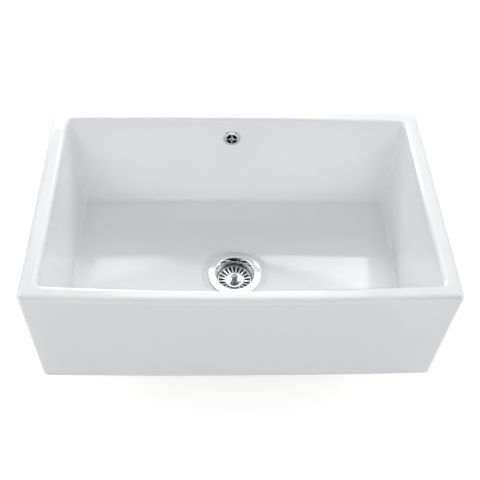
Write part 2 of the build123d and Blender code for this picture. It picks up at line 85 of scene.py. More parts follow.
class NodeSheet:
    """A node tree with short names for the nodes that the finishes use."""

    def __init__(self, tree: bpy.types.NodeTree) -> None:
        """Starts a sheet on a tree.

        Args:
            tree: The tree.
        """
        self.tree = tree

    def add(
        self, kind: str, inputs: dict[str | int, object] | None = None, **own: object
    ) -> bpy.types.Node:
        """Adds a node.

        Args:
            kind: Its type, without the prefix that all shader nodes have.
            inputs: What each input takes: a socket to link it to or a constant.
            own: The node's own settings by name.

        Returns:
            The node.
        """
        node = self.tree.nodes.new(f"ShaderNode{kind}")
        for name, value in own.items():
            setattr(node, name, value)
        for name, value in (inputs or {}).items():
            if isinstance(value, Socket):
                self.tree.links.new(value, node.inputs[name])
            else:
                node.inputs[name].default_value = value
        return node

    def spread(
        self, value: Socket, low: float, high: float, start: float = 0.3, end: float = 0.7
    ) -> Socket:
        """Maps a value's middle range to another range.

        Args:
            value: What is mapped.
            low: The result at the range's start.
            high: The result at the range's end.
            start: Where the range starts.
            end: Where the range ends.

        Returns:
            The mapped value.
        """
        return self.add("MapRange", {
            "From Min": start, "From Max": end, "To Min": low, "To Max": high, "Value": value,
        }).outputs["Result"]

    def part(self, where: Socket, axis: str = "Z") -> Socket:
        """One axis' part of a place or a direction."""
        return self.add("SeparateXYZ", {"Vector": where}).outputs[axis]

    def ray(self, kind: str) -> Socket:
        """A value that is 1 for rays of one kind, such as Camera or Glossy."""
        return self.add("LightPath").outputs[f"Is {kind} Ray"]

    def worked(self, operation: str, first: Socket, second: Socket) -> Socket:
        """Works out a value from two others."""
        return self.add("Math", {0: first, 1: second}, operation=operation).outputs[0]

    def mixed(self, share: Socket, low: Mixable, high: Mixable, kind: str = "FLOAT") -> Socket:
        """Blends two values or colours.

        Args:
            share: How much of the second there is.
            low: The first.
            high: The second.
            kind: FLOAT for values or RGBA for colours.

        Returns:
            The blend.
        """
        first, result = (2, 0) if kind == "FLOAT" else (6, 2)
        inputs = {0: share, first: low, first + 1: high}
        return self.add("Mix", inputs, data_type=kind).outputs[result]


class Material(NodeSheet):
    """A material's node tree, with a Principled shader and an output."""

    def __init__(self, name: str) -> None:
        """Starts a material.

        Args:
            name: Its name.
        """
        self.material = bpy.data.materials.new(name)
        self.material.use_nodes = True
        super().__init__(self.material.node_tree)
        self.tree.nodes.clear()
        self.shader = self.add("BsdfPrincipled")
        self.add("OutputMaterial", {"Surface": self.shader.outputs["BSDF"]})
        self.place = self.add("TexCoord").outputs["Object"]

    def set(self, values: dict[str, float | tuple]) -> None:
        """Sets constants on the shader's own sockets."""
        for name, value in values.items():
            self.shader.inputs[name].default_value = value

    def feed(self, name: str, source: Socket) -> None:
        """Links a pattern to one of the shader's sockets."""
        self.tree.links.new(source, self.shader.inputs[name])

    def stretched(self, scale: tuple[float, float, float]) -> Socket:
        """The object coordinates, scaled along each axis."""
        return self.add("Mapping", {"Scale": scale, "Vector": self.place}).outputs["Vector"]

    def noise(self, size: float, detail: float = 2.0, where: Socket | None = None) -> Socket:
        """A noise pattern.

        Args:
            size: The pattern's wavelength in metres.
            detail: How many finer layers it has.
            where: The coordinates, or None for the object's own.

        Returns:
            The noise value.
        """
        inputs = {"Scale": 1.0 / size, "Detail": detail, "Vector": where or self.place}
        return self.add("TexNoise", inputs).outputs["Fac"]

    def rings(self, pitch: float) -> Socket:
        """Rings about the Z axis, as a lathe leaves them.

        Args:
            pitch: The rings' pitch in metres.

        Returns:
            The ring value.
        """
        return self.add(
            "TexWave", {"Scale": 0.05 / pitch * math.tau, "Distortion": 0.0, "Vector": self.place},
            wave_type="RINGS", rings_direction="Z",
        ).outputs["Fac"]

    def ramp(self, value: Socket, stops: Sequence[tuple[float, Colour]]) -> Socket:
        """A colour ramp between two stops.

        Args:
            value: What drives it.
            stops: Each stop's position and colour.

        Returns:
            The ramp's colour.
        """
        node = self.add("ValToRGB", {"Fac": value})
        for element, (position, colour) in zip(node.color_ramp.elements, stops):
            element.position = position
            element.color = (*colour, 1.0)
        return node.outputs["Color"]

    def facing_up(self) -> Socket:
        """How far the surface faces up, from -1 to 1."""
        return self.part(self.add("NewGeometry").outputs["Normal"])

    def reach(self, where: Socket) -> Socket:
        """How far a place is from its own origin."""
        return self.add("VectorMath", {0: where}, operation="LENGTH").outputs["Value"]

    def about(self, place: Matrix) -> tuple[Socket, Socket]:
        """How far a point lies from a feature's axis, and how far along it.

        Args:
            place: The feature's place, with its axis along Z.

        Returns:
            The distance from the axis and the distance along it, in metres.
        """
        into = place.inverted()
        local = self.add("Mapping", {
            "Location": into.translation, "Rotation": into.to_euler(), "Vector": self.place,
        }).outputs["Vector"]
        flat = self.add("VectorMath", {0: local, 1: (1, 1, 0)}, operation="MULTIPLY")
        return self.reach(flat.outputs["Vector"]), self.part(local)

    def bump(self, height: Socket, depth: float, under: Socket | None = None) -> Socket:
        """A bump layer.

        Args:
            height: The height pattern, from 0 to 1.
            depth: How deep the pattern is, in metres.
            under: The bump layer that this one lies on.

        Returns:
            The bent normal.
        """
        inputs = {"Strength": 1.0, "Distance": depth, "Height": height}
        if under is not None:
            inputs["Normal"] = under
        return self.add("Bump", inputs).outputs["Normal"]


def tint(colour: Colour, factor: float) -> Colour:
    """The colour made darker or lighter by a factor."""
    return tuple(min(1.0, channel * factor) for channel in colour)


class Finish:
    """What a surface is made of."""

    def make(self) -> bpy.types.Material:
        """Builds the material."""
        raise NotImplementedError


@dataclass(frozen=True)
class Glaze(Finish):
    """White glaze on fireclay: glassy, a little wavy, with faint clouds under it.

    The underside is bare clay, and the overflow hole's inside is painted near-black as shade.
    """

    colour: Colour = (0.857, 0.864, 0.885)
    cloud_size: float = 0.16
    cloud_shade: float = 0.985
    roughness: float = 0.025
    wave_size: float = 0.11
    wave_depth: float = 0.00018
    peel_size: float = 0.009
    peel_depth: float = 0.00007
    fine_size: float = 0.004
    fine_depth: float = 0.000015
    clay: Colour = (0.76, 0.735, 0.695)
    clay_grain: float = 0.0022
    clay_roughness: float = 0.85
    # Painted shade: the near-black colour that the overflow hole's inside takes past its mouth.
    hole_painted_shade: Colour = (0.022, 0.022, 0.024)
    hole: float = 0.0158
    hole_edge: float = 0.0004
    hole_mouth: float = -0.0004
    hole_dark: float = -0.0014
    bare_from: float = -0.97
    bare_to: float = -0.75

    def make(self) -> bpy.types.Material:
        """Builds the material."""
        sheet = Material("fireclay_glaze")
        clouds = sheet.noise(self.cloud_size, 4)
        grain = sheet.noise(self.clay_grain, 5)
        bare = sheet.spread(sheet.facing_up(), 1.0, 0.0, self.bare_from, self.bare_to)
        glazed = sheet.ramp(clouds, [(0.3, tint(self.colour, self.cloud_shade)), (0.7, self.colour)])
        clay = sheet.ramp(grain, [(0.35, tint(self.clay, 0.86)), (0.65, self.clay)])
        # Painted shade: a mask of the overflow hole's inside, which is coloured near-black below.
        beside, along = sheet.about(OVERFLOW)
        inside = sheet.worked(
            "MULTIPLY",
            sheet.spread(beside, 1.0, 0.0, self.hole, self.hole + self.hole_edge),
            sheet.spread(along, 1.0, 0.0, self.hole_dark, self.hole_mouth),
        )
        sheet.feed("Base Color", sheet.mixed(
            inside, sheet.mixed(bare, glazed, clay, "RGBA"), (*self.hole_painted_shade, 1.0), "RGBA"
        ))
        glossy = sheet.spread(clouds, self.roughness * 1.4, self.roughness)
        matt = sheet.spread(grain, self.clay_roughness, self.clay_roughness * 0.9)
        sheet.feed("Roughness", sheet.mixed(bare, glossy, matt))
        sheet.set({"IOR": 1.52, "Coat Weight": 0.35, "Coat Roughness": 0.03, "Coat IOR": 1.5})
        waves = sheet.bump(sheet.noise(self.wave_size, 1), self.wave_depth)
        peel = sheet.bump(sheet.noise(self.peel_size, 2), self.peel_depth, waves)
        fine = sheet.bump(sheet.noise(self.fine_size, 1), self.fine_depth, peel)
        sheet.feed("Normal", fine)
        sheet.feed("Coat Normal", peel)
        return sheet.material


@dataclass(frozen=True)
class PolishedSteel(Finish):
    """Mirror-polished stainless steel with turned rings and faint smears; low down it is rougher drawn
    steel, painted near-black as shade.
    """

    name: str = "polished_steel"
    colour: Colour = (0.72, 0.73, 0.75)
    roughness: float = 0.05
    ring_pitch: float = 0.0007
    ring_depth: float = 0.0000008
    smear_size: float = 0.014
    drawn_and_shaded_to: float = -1.1
    polished_from: float = -1.0
    # Painted shade: the near-black colour of the low inside, where the basket shades it; its roughness is
    # the drawn steel's own.
    inside_painted_shade: Colour = (0.04, 0.041, 0.044)
    drawn_roughness: float = 0.38
    streak_size: float = 0.0014

    def make(self) -> bpy.types.Material:
        """Builds the material."""
        sheet = Material(self.name)
        smears = sheet.noise(self.smear_size, 3)
        shine = sheet.ramp(smears, [(0.3, tint(self.colour, 0.9)), (0.7, self.colour)])
        rough = sheet.spread(smears, self.roughness * 1.8, self.roughness)
        streaks = sheet.noise(self.streak_size, 3, sheet.stretched((1, 1, 0.12)))
        # The drawn streaks, in the painted near-black shade.
        drawn_painted_shade = sheet.ramp(streaks, [(0.3, tint(self.inside_painted_shade, 0.8)), (0.7, self.inside_painted_shade)])
        polished = sheet.spread(sheet.part(sheet.place), 0.0, 1.0, self.drawn_and_shaded_to, self.polished_from)
        sheet.feed("Base Color", sheet.mixed(polished, drawn_painted_shade, shine, "RGBA"))
        sheet.feed("Roughness", sheet.mixed(
            polished, sheet.spread(streaks, self.drawn_roughness, self.drawn_roughness * 1.3), rough
        ))
        sheet.set({"Metallic": 1.0})
        sheet.feed("Normal", sheet.bump(sheet.rings(self.ring_pitch), self.ring_depth))
        return sheet.material


@dataclass(frozen=True)
class DullSteel(Finish):
    """Plain steel of screws and rods: rolled, with a fine grain."""

    name: str = "plain_steel"
    colour: Colour = (0.55, 0.55, 0.56)
    roughness: float = 0.34
    grain_size: float = 0.0009
    grain_depth: float = 0.000008

    def make(self) -> bpy.types.Material:
        """Builds the material."""
        sheet = Material(self.name)
        grain = sheet.noise(self.grain_size, 3, sheet.stretched((1, 1, 0.15)))
        sheet.feed("Base Color", sheet.ramp(grain, [(0.3, tint(self.colour, 0.8)), (0.7, self.colour)]))
        sheet.feed("Roughness", sheet.spread(grain, self.roughness * 1.3, self.roughness))
        sheet.set({"Metallic": 1.0})
        sheet.feed("Normal", sheet.bump(grain, self.grain_depth))
        return sheet.material


@dataclass(frozen=True)
class Brass(Finish):
    """Turned brass, a little tarnished."""

    colour: Colour = (0.68, 0.5, 0.24)
    tarnish: Colour = (0.42, 0.3, 0.14)
    roughness: float = 0.3
    patch_size: float = 0.004
    ring_pitch: float = 0.0005
    ring_depth: float = 0.000006

    def make(self) -> bpy.types.Material:
        """Builds the material."""
        sheet = Material("turned_brass")
        patches = sheet.noise(self.patch_size, 4)
        sheet.feed("Base Color", sheet.ramp(patches, [(0.32, self.tarnish), (0.55, self.colour)]))
        sheet.feed("Roughness", sheet.spread(patches, self.roughness * 1.6, self.roughness))
        sheet.set({"Metallic": 1.0})
        sheet.feed("Normal", sheet.bump(sheet.rings(self.ring_pitch), self.ring_depth))
        return sheet.material


@dataclass(frozen=True)
class SoftSeal(Finish):
    """Moulded rubber or foam: dull, with a grain and a bloom of dust."""

    name: str
    colour: Colour
    bloom: Colour
    roughness: float
    grain_size: float
    grain_depth: float
    bloom_size: float = 0.009

    def make(self) -> bpy.types.Material:
        """Builds the material."""
        sheet = Material(self.name)
        bloom = sheet.noise(self.bloom_size, 4)
        sheet.feed("Base Color", sheet.ramp(bloom, [(0.42, self.colour), (0.75, self.bloom)]))
        sheet.feed("Roughness", sheet.spread(bloom, self.roughness, min(1.0, self.roughness * 1.3)))
        sheet.feed("Normal", sheet.bump(sheet.noise(self.grain_size, 2), self.grain_depth))
        return sheet.material


@dataclass(frozen=True)
class MouldedPlastic(Finish):
    """Injection-moulded plastic: an even satin skin with faint flow marks."""

    name: str
    colour: Colour
    roughness: float
    flow_size: float = 0.018
    skin_size: float = 0.0006
    skin_depth: float = 0.000008
    glow: float = 0.05

    def make(self) -> bpy.types.Material:
        """Builds the material."""
        sheet = Material(self.name)
        flow = sheet.noise(self.flow_size, 3, sheet.stretched((1, 1, 0.35)))
        sheet.feed("Base Color", sheet.ramp(flow, [(0.3, tint(self.colour, 0.955)), (0.7, self.colour)]))
        sheet.feed("Roughness", sheet.spread(flow, self.roughness * 1.25, self.roughness))
        sheet.set({
            "Subsurface Weight": self.glow,
            "Subsurface Radius": (0.004, 0.004, 0.004),
            "IOR": 1.49,
        })
        sheet.feed("Normal", sheet.bump(sheet.noise(self.skin_size, 1), self.skin_depth))
        return sheet.material


GLAZE = Glaze()
POLISHED = PolishedSteel()
# The cup's inside below the basket is rougher drawn steel, painted near-black as shade.
CUP_STEEL = PolishedSteel("cup_steel", drawn_and_shaded_to=0.0135, polished_from=0.0225)
KNOB_STEEL = PolishedSteel("knob_steel", (0.28, 0.284, 0.296), 0.1)
DULL_STEEL = DullSteel()
DARK_STEEL = DullSteel("dark_steel", (0.16, 0.16, 0.165), 0.5)
BRASS = Brass()
RUBBER = SoftSeal("black_rubber", (0.018, 0.018, 0.019), (0.05, 0.05, 0.052), 0.55, 0.0007, 0.00002)
FOAM = SoftSeal("grey_foam", (0.05, 0.052, 0.056), (0.09, 0.09, 0.095), 0.85, 0.0011, 0.00018)
WHITE_PLASTIC = MouldedPlastic("white_polypropylene", (0.78, 0.79, 0.79), 0.36)
HOSE_PLASTIC = MouldedPlastic("hose_polyethylene", (0.7, 0.715, 0.73), 0.42, glow=0.1)
NYLON = MouldedPlastic("nylon", (0.78, 0.76, 0.7), 0.4)


# ---- Studio -----------------------------------------------------------------------------------


@dataclass(frozen=True)
class PhotoCamera:
    """The camera at the photograph's place, from a fit to the sink's straight edges."""

    place: tuple[float, float, float] = (-0.0522, -0.9024, 1.2578)
    yaw: float = 0.0660
    pitch: float = 0.8877
    roll: float = 0.0528
    lens: float = 53.45
    sensor: float = 36.0

    def make(self) -> Piece:
        """Adds the camera and makes it the scene's own."""
        forward = Vector((
            math.sin(self.yaw) * math.cos(self.pitch),
            math.cos(self.yaw) * math.cos(self.pitch),
            -math.sin(self.pitch),
        ))
        level = Vector((math.cos(self.yaw), -math.sin(self.yaw), 0))
        upright = level.cross(forward)
        right = level * math.cos(self.roll) + upright * math.sin(self.roll)
        above = upright * math.cos(self.roll) - level * math.sin(self.roll)
        turn = Matrix((right, above, -forward)).transposed().to_4x4()
        data = bpy.data.cameras.new("photo_camera")
        data.lens = self.lens
        data.sensor_width = self.sensor
        camera = bpy.data.objects.new("photo_camera", data)
        camera.matrix_world = Matrix.Translation(self.place) @ turn
        bpy.context.scene.collection.objects.link(camera)
        bpy.context.scene.camera = camera
        return camera


class Reach(Enum):
    """What a lamp's light is for."""

    MATT = "lights surfaces"
    GLOSS = "shows in polished surfaces"


@dataclass(frozen=True)
class Softbox:
    """A rectangular lamp at a bearing, a height angle and a distance from what it looks at.

    The bearing is clockwise from the wall behind the sink, in degrees. The camera doesn't see it.
    """

    name: str
    bearing: float
    elevation: float
    distance: float
    width: float
    height: float
    power: float
    reach: Reach = Reach.MATT
    target: tuple[float, float, float] = (0.0, 0.0, 0.1)

    def make(self) -> Piece:
        """Adds the lamp."""
        data = bpy.data.lights.new(self.name, "AREA")
        data.shape = "RECTANGLE"
        data.size = self.width
        data.size_y = self.height
        data.energy = self.power
        lamp = bpy.data.objects.new(self.name, data)
        bearing = math.radians(self.bearing)
        elevation = math.radians(self.elevation)
        outward = Vector((
            math.sin(bearing) * math.cos(elevation),
            math.cos(bearing) * math.cos(elevation),
            math.sin(elevation),
        ))
        lamp.matrix_world = (
            Matrix.Translation(Vector(self.target) + outward * self.distance)
            @ lying_along(outward)
        )
        lamp.visible_camera = False
        lamp.visible_glossy = self.reach is Reach.GLOSS
        lamp.visible_diffuse = self.reach is Reach.MATT
        bpy.context.scene.collection.objects.link(lamp)
        return lamp


GLOSS = Reach.GLOSS


@dataclass(frozen=True)
class Studio:
    """A pale floor, two bench blocks under the sink's lands, softboxes and a white backdrop."""

    floor_size: float = 9.0
    floor_colour: Colour = (0.76, 0.76, 0.76)
    floor_lift: float = 0.54
    white_from: float = 0.6
    white_to: float = 1.7
    fill: float = 0.02
    backdrop_from: float = -0.15
    backdrop_to: float = 0.5
    dark_side: float = 0.2
    bright_side: float = 0.8
    block_from: float = 0.242
    block_width: float = 0.06
    block_length: float = 0.37
    block_y: float = 0.035
    block_gap: float = 0.0004
    block_arris: float = 0.002
    lamps: tuple[Softbox, ...] = (
        Softbox("right_key", 17.0, 52.6, 2.58, 0.66, 0.9, 14.6, target=(0.1, 0.0, 0.1)),
        Softbox("left_key", 342.4, 52.2, 2.59, 0.28, 0.9, 2.1, target=(-0.1, 0.0, 0.1)),
        Softbox("back_fill", 0.0, 42.0, 1.7, 2.2, 0.5, 15.6),
        Softbox("top_fill", 0.0, 88.0, 2.4, 1.6, 1.6, 5.2),
        Softbox("right_fill", 90.0, 18.0, 2.8, 1.6, 0.8, 14.6),
        Softbox("left_fill", 270.0, 18.0, 2.8, 1.6, 0.8, 17.0),
        Softbox("right_front_fill", 135.0, 40.0, 2.6, 1.4, 1.2, 9.3),
        Softbox("left_front_fill", 225.0, 40.0, 2.6, 1.4, 1.2, 10.7),
        Softbox("front_fill", 180.0, 35.0, 2.8, 2.4, 1.0, 22.4),
        Softbox("low_left", 334.0, 25.0, 2.5, 1.2, 0.44, 19.91, GLOSS),
        Softbox("low_middle", 350.0, 35.0, 2.5, 1.6, 0.44, 10.39, GLOSS),
        Softbox("edge_middle", 357.75, 42.0, 2.5, 0.74, 0.175, 3.78, GLOSS),
        Softbox("edge_right", 17.0, 42.0, 2.5, 0.476, 0.175, 3.06, GLOSS),
        Softbox("patch_right", 19.6, 47.6, 2.5, 0.6, 0.315, 1.6, GLOSS),
        Softbox("patch_left", 341.2, 47.6, 2.5, 0.42, 0.315, 0.64, GLOSS),
        Softbox("patch_far_right", 37.5, 47.6, 2.5, 0.747, 0.315, 0.22, GLOSS),
        Softbox("patch_far_left", 326.5, 47.6, 2.5, 0.686, 0.315, 0.34, GLOSS),
        Softbox("above_patches", 7.0, 55.6, 2.5, 1.6, 0.29, 1.46, GLOSS),
        Softbox("high_middle", 0.0, 64.0, 2.5, 1.1, 0.526, 3.18, GLOSS),
        Softbox("high_right", 37.5, 64.0, 2.5, 0.486, 0.526, 1.12, GLOSS),
        Softbox("front_low", 180.0, 14.0, 2.4, 2.0, 0.9, 7.07, GLOSS),
        Softbox("left_low_gloss", 270.0, 17.5, 2.6, 1.8, 0.685, 23.24, GLOSS),
        Softbox("left_gloss", 270.0, 35.0, 2.6, 1.8, 0.917, 31.11, GLOSS),
        Softbox("right_low_gloss", 90.0, 17.5, 2.6, 1.8, 0.685, 23.24, GLOSS),
        Softbox("right_gloss", 90.0, 35.0, 2.6, 1.8, 0.917, 31.11, GLOSS),
    )

    def make(self, ground: float) -> None:
        """Builds the studio round the object.

        Args:
            ground: The height that the object's lowest point has.
        """
        self.floor(ground)
        self.bench(ground)
        self.world()
        for lamp in self.lamps:
            lamp.make()

    def floor(self, height: float) -> None:
        """Adds the floor, which the camera sees a little brighter than it is lit.

        Args:
            height: The floor's height.
        """
        bpy.ops.mesh.primitive_plane_add(size=self.floor_size, location=(0, 0, height))
        floor = bpy.context.object
        floor.name = "studio_floor"
        sheet = Material("studio_floor")
        sheet.set({"Roughness": 0.9, "Specular IOR Level": 0.0})
        sheet.feed("Base Color", sheet.ramp(sheet.noise(0.5, 2), [
            (0.0, tint(self.floor_colour, 0.995)), (1.0, self.floor_colour)
        ]))
        away = sheet.reach(sheet.place)
        white = sheet.spread(away, self.floor_lift, 1.0, self.white_from, self.white_to)
        looked_at = sheet.worked("MAXIMUM", sheet.ray("Camera"), sheet.ray("Glossy"))
        sheet.set({"Emission Color": (1, 1, 1, 1)})
        sheet.feed("Emission Strength", sheet.worked("MULTIPLY", looked_at, white))
        floor.data.materials.append(sheet.material)
        floor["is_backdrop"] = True

    def bench(self, height: float) -> None:
        """Adds the two blocks that the lands stand on.

        Args:
            height: The floor's height.
        """
        sheet = Material("bench_wood")
        sheet.set({"Roughness": 0.7})
        sheet.feed("Base Color", sheet.ramp(sheet.noise(0.02, 4, sheet.stretched((1, 0.1, 1))), [
            (0.3, (0.8, 0.795, 0.785)), (0.7, (0.86, 0.855, 0.845))
        ]))
        for side in (-1, 1):
            centre = side * (self.block_from + self.block_width / 2)
            bpy.ops.mesh.primitive_cube_add(
                size=1, location=(centre, self.block_y, height / 2),
                scale=(self.block_width, self.block_length, -height - self.block_gap),
            )
            stand = bpy.context.object
            stand.name = "bench_block"
            bevel = stand.modifiers.new("arris", "BEVEL")
            bevel.width = self.block_arris
            stand.data.materials.append(sheet.material)
            stand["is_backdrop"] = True

    def world(self) -> None:
        """A world that is white to the eye, a white backdrop to gloss and dark behind the camera."""
        world = bpy.data.worlds.new("studio_world")
        world.use_nodes = True
        back = world.node_tree.nodes["Background"]
        back.inputs["Color"].default_value = (1, 1, 1, 1)
        sheet = NodeSheet(world.node_tree)
        depth = sheet.part(sheet.add("TexCoord").outputs["Generated"], "Y")
        backdrop = sheet.spread(
            depth, self.dark_side, self.bright_side, self.backdrop_from, self.backdrop_to
        )
        gloss = sheet.mixed(sheet.ray("Glossy"), self.fill, backdrop)
        seen = sheet.mixed(sheet.ray("Camera"), gloss, 1.0)
        sheet.tree.links.new(seen, back.inputs["Strength"])
        bpy.context.scene.world = world


# ---- Names that the record gives ----------------------------------------------------------------


class Body(Enum):
    """The bodies that pieces ride on."""

    SINK = "sink"
    BASKET = "basket"
    STOPPER = "stopper"


class Slot(Enum):
    """The record's material slots; nothing in this script uses them."""

    POLISHED_STEEL = "polished_steel"
    WHITE_PLASTIC = "white_plastic"
    HOSE_PLASTIC = "hose_plastic"


# ---- Bench tools --------------------------------------------------------------------------------

UPRIGHT = Matrix.Identity(4)
# A thread's steps in a turn, its foot as a share of the pitch and its crest as a share of the foot.
THREAD_STEPS, THREAD_FOOT, THREAD_CREST = 48, 0.86, 0.24
# How far a curve's handles reach, in radii, for a quarter turn.
QUARTER_PULL = 0.5523
MADE: dict[Finish, bpy.types.Material] = {}


def material_of(finish: Finish) -> bpy.types.Material:
    """The finish's material, made once."""
    if finish not in MADE:
        MADE[finish] = finish.make()
    return MADE[finish]


def put_down() -> None:
    """Goes back to object mode with nothing selected."""
    if bpy.context.object is not None and bpy.context.object.mode != "OBJECT":
        bpy.ops.object.mode_set(mode="OBJECT")
    bpy.ops.object.select_all(action="DESELECT")


def pick_up(piece: Piece) -> None:
    """Makes one piece the selected and active one."""
    put_down()
    piece.select_set(True)
    bpy.context.view_layer.objects.active = piece


def throw_away(piece: Piece) -> None:
    """Deletes a tool or a guide."""
    pick_up(piece)
    bpy.ops.object.delete()


def copy_of(piece: Piece) -> Piece:
    """A copy of a piece with its own mesh."""
    pick_up(piece)
    bpy.ops.object.duplicate()
    return bpy.context.object


def work_on(piece: Piece) -> None:
    """Goes to edit mode with all of a piece selected."""
    pick_up(piece)
    bpy.ops.object.mode_set(mode="EDIT")
    bpy.ops.mesh.select_all(action="SELECT")


def pick(piece: Piece, kind: str, wanted: Callable[[bpy.types.bpy_struct], bool]) -> None:
    """Selects some of a piece's points or faces and goes to edit mode.

    Args:
        piece: The piece.
        kind: VERT for points or FACE for faces.
        wanted: Tells whether a point or a face is one of them.
    """
    pick_up(piece)
    bpy.ops.object.mode_set(mode="EDIT")
    bpy.ops.mesh.select_mode(type=kind)
    bpy.ops.mesh.select_all(action="DESELECT")
    bpy.ops.object.mode_set(mode="OBJECT")
    for part in piece.data.vertices if kind == "VERT" else piece.data.polygons:
        part.select = wanted(part)
    bpy.ops.object.mode_set(mode="EDIT")


def clean(piece: Piece, near: float = TOUCH) -> None:
    """Merges points that are as good as one and turns every face outwards.

    Args:
        piece: The piece.
        near: How near such points are, in metres.
    """
    work_on(piece)
    bpy.ops.mesh.remove_doubles(threshold=near)
    bpy.ops.mesh.normals_make_consistent(inside=False)
    put_down()


def settle(piece: Piece, place: Matrix = UPRIGHT) -> Piece:
    """Moves a piece to its place and puts that place into its mesh.

    Args:
        piece: The piece.
        place: Where it goes, in metres.

    Returns:
        The piece.
    """
    pick_up(piece)
    piece.matrix_world = place @ piece.matrix_world
    bpy.ops.object.transform_apply(location=True, rotation=True, scale=True)
    put_down()
    return piece


def turned(
    name: str, section: Sequence[Point], sides: int = 64, closed: bool = False, capped: bool = True
) -> Piece:
    """Turns a section about the Z axis, ring after ring.

    Args:
        name: The piece's name.
        section: Each ring's radius and height, in millimetres.
        sides: How many sides a ring has.
        closed: Whether the section closes on itself, as a tube's wall does.
        capped: Whether the ends of a section that doesn't are capped.

    Returns:
        The turned piece.
    """
    put_down()
    radius, height = section[0]
    bpy.ops.mesh.primitive_circle_add(
        vertices=sides, radius=radius * MM, location=(0, 0, height * MM),
        fill_type="NGON" if capped and not closed else "NOTHING",
    )
    piece = bpy.context.object
    piece.name = name
    bpy.ops.object.mode_set(mode="EDIT")
    bpy.ops.mesh.select_mode(type="VERT")
    bpy.ops.mesh.select_all(action="SELECT")
    for next_radius, next_height in (*section[1:], section[0]) if closed else section[1:]:
        bpy.ops.mesh.extrude_region_move()
        if next_radius != radius:
            ratio = next_radius / radius
            bpy.ops.transform.resize(value=(ratio, ratio, 1.0), center_override=(0, 0, height * MM))
        bpy.ops.transform.translate(value=(0, 0, (next_height - height) * MM))
        radius, height = next_radius, next_height
    put_down()
    clean(piece)
    return settle(piece)


def apply_modifier(piece: Piece, kind: str, **settings: object) -> None:
    """Adds a modifier, sets it and applies it.

    Args:
        piece: The piece.
        kind: The modifier's type.
        settings: Its settings by name.
    """
    pick_up(piece)
    modifier = piece.modifiers.new(kind.lower(), kind)
    for name, value in settings.items():
        setattr(modifier, name, value)
    bpy.ops.object.modifier_apply(modifier=modifier.name)
    put_down()


def cut(piece: Piece, tool: Piece, operation: str = "DIFFERENCE") -> None:
    """Cuts one piece with another, or joins it on, and throws the tool away.

    Args:
        piece: The piece that stays.
        tool: What cuts it or is joined on.
        operation: The boolean operation.
    """
    apply_modifier(piece, "BOOLEAN", object=tool, operation=operation, solver="EXACT")
    throw_away(tool)


def fuse(piece: Piece, *others: Piece) -> None:
    """Joins solids into one closed skin."""
    for other in others:
        cut(piece, other, "UNION")


def soften(piece: Piece, width: float, segments: int = 2, angle: float = 32.0) -> None:
    """Rounds a piece's sharp edges.

    Args:
        piece: The piece.
        width: The rounding's width, in millimetres.
        segments: How many faces cross it.
        angle: How sharp an edge has to be, in degrees.
    """
    apply_modifier(
        piece, "BEVEL", width=width * MM, segments=segments, limit_method="ANGLE",
        angle_limit=math.radians(angle), harden_normals=False, use_clamp_overlap=True,
    )


def repeat_round(piece: Piece, count: int) -> None:
    """Copies a piece round the Z axis, all in one mesh.

    Args:
        piece: The piece.
        count: How many of it there are in the end.
    """
    work_on(piece)
    for _ in range(count - 1):
        bpy.ops.mesh.duplicate_move()
        bpy.ops.transform.rotate(value=math.tau / count, orient_axis="Z", center_override=(0, 0, 0))
    put_down()


def block(name: str, low: Sequence[float], high: Sequence[float]) -> Piece:
    """A block between two corners.

    Args:
        name: Its name.
        low: Its lowest corner, in millimetres.
        high: Its highest corner, in millimetres.

    Returns:
        The block.
    """
    put_down()
    bpy.ops.mesh.primitive_cube_add(
        size=1.0,
        location=[(a + b) / 2 * MM for a, b in zip(low, high)],
        scale=[(b - a) * MM for a, b in zip(low, high)],
    )
    piece = bpy.context.object
    piece.name = name
    return settle(piece)


def slot_tool(
    inner: float, outer: float, width: float, low: float, high: float, flare: float = 1.0
) -> Piece:
    """An upright bar with round ends along X, the shape of a punched slot.

    Args:
        inner: Where it starts, from the Z axis, in millimetres.
        outer: Where it ends.
        width: Its width.
        low: Its lower end's height.
        high: Its upper end's height.
        flare: How many times wider its outer end is.

    Returns:
        The tool.
    """
    put_down()
    start = inner + width / 2
    bpy.ops.mesh.primitive_circle_add(
        vertices=20, radius=width / 2 * MM, fill_type="NGON", location=(start * MM, 0, low * MM)
    )
    tool = bpy.context.object
    settle(tool)
    pick(tool, "VERT", lambda point: point.co.x > start * MM + TOUCH)
    bpy.ops.transform.translate(value=((outer - inner - width) * MM, 0, 0))
    bpy.ops.transform.resize(value=(1, flare, 1), center_override=(0, 0, 0))
    bpy.ops.mesh.select_all(action="SELECT")
    bpy.ops.mesh.extrude_region_move(TRANSFORM_OT_translate={"value": (0, 0, (high - low) * MM)})
    clean(tool)
    return tool


def thread(root: float, crest: float, pitch: float, turns: float, top: float) -> Piece:
    """A screw thread: a wedge that climbs down round the Z axis.

    Args:
        root: The wedge's inner radius, a little inside the wall that carries it, in millimetres.
        crest: Its outer radius.
        pitch: How far it falls in a turn.
        turns: How many turns it makes.
        top: Where it starts.

    Returns:
        The thread.
    """
    put_down()
    steps = int(turns * THREAD_STEPS)
    bpy.ops.mesh.primitive_plane_add(size=1.0, location=((root + crest) / 2 * MM, 0, top * MM))
    piece = bpy.context.object
    piece.rotation_euler = (math.pi / 2, 0, 0)
    piece.scale = ((crest - root) * MM, pitch * THREAD_FOOT * MM, 1.0)
    settle(piece)
    pick(piece, "VERT", lambda point: point.co.x > (root + crest) / 2 * MM)
    bpy.ops.transform.resize(value=(1, 1, THREAD_CREST), center_override=(crest * MM, 0, top * MM))
    bpy.ops.mesh.select_all(action="SELECT")
    bpy.ops.mesh.delete(type="ONLY_FACE")
    put_down()
    apply_modifier(
        piece, "SCREW", angle=turns * math.tau, screw_offset=-turns * pitch * MM, iterations=1,
        steps=steps, render_steps=steps, use_merge_vertices=True, merge_threshold=TOUCH,
    )
    work_on(piece)
    bpy.ops.mesh.fill_holes(sides=4)
    clean(piece)
    return piece


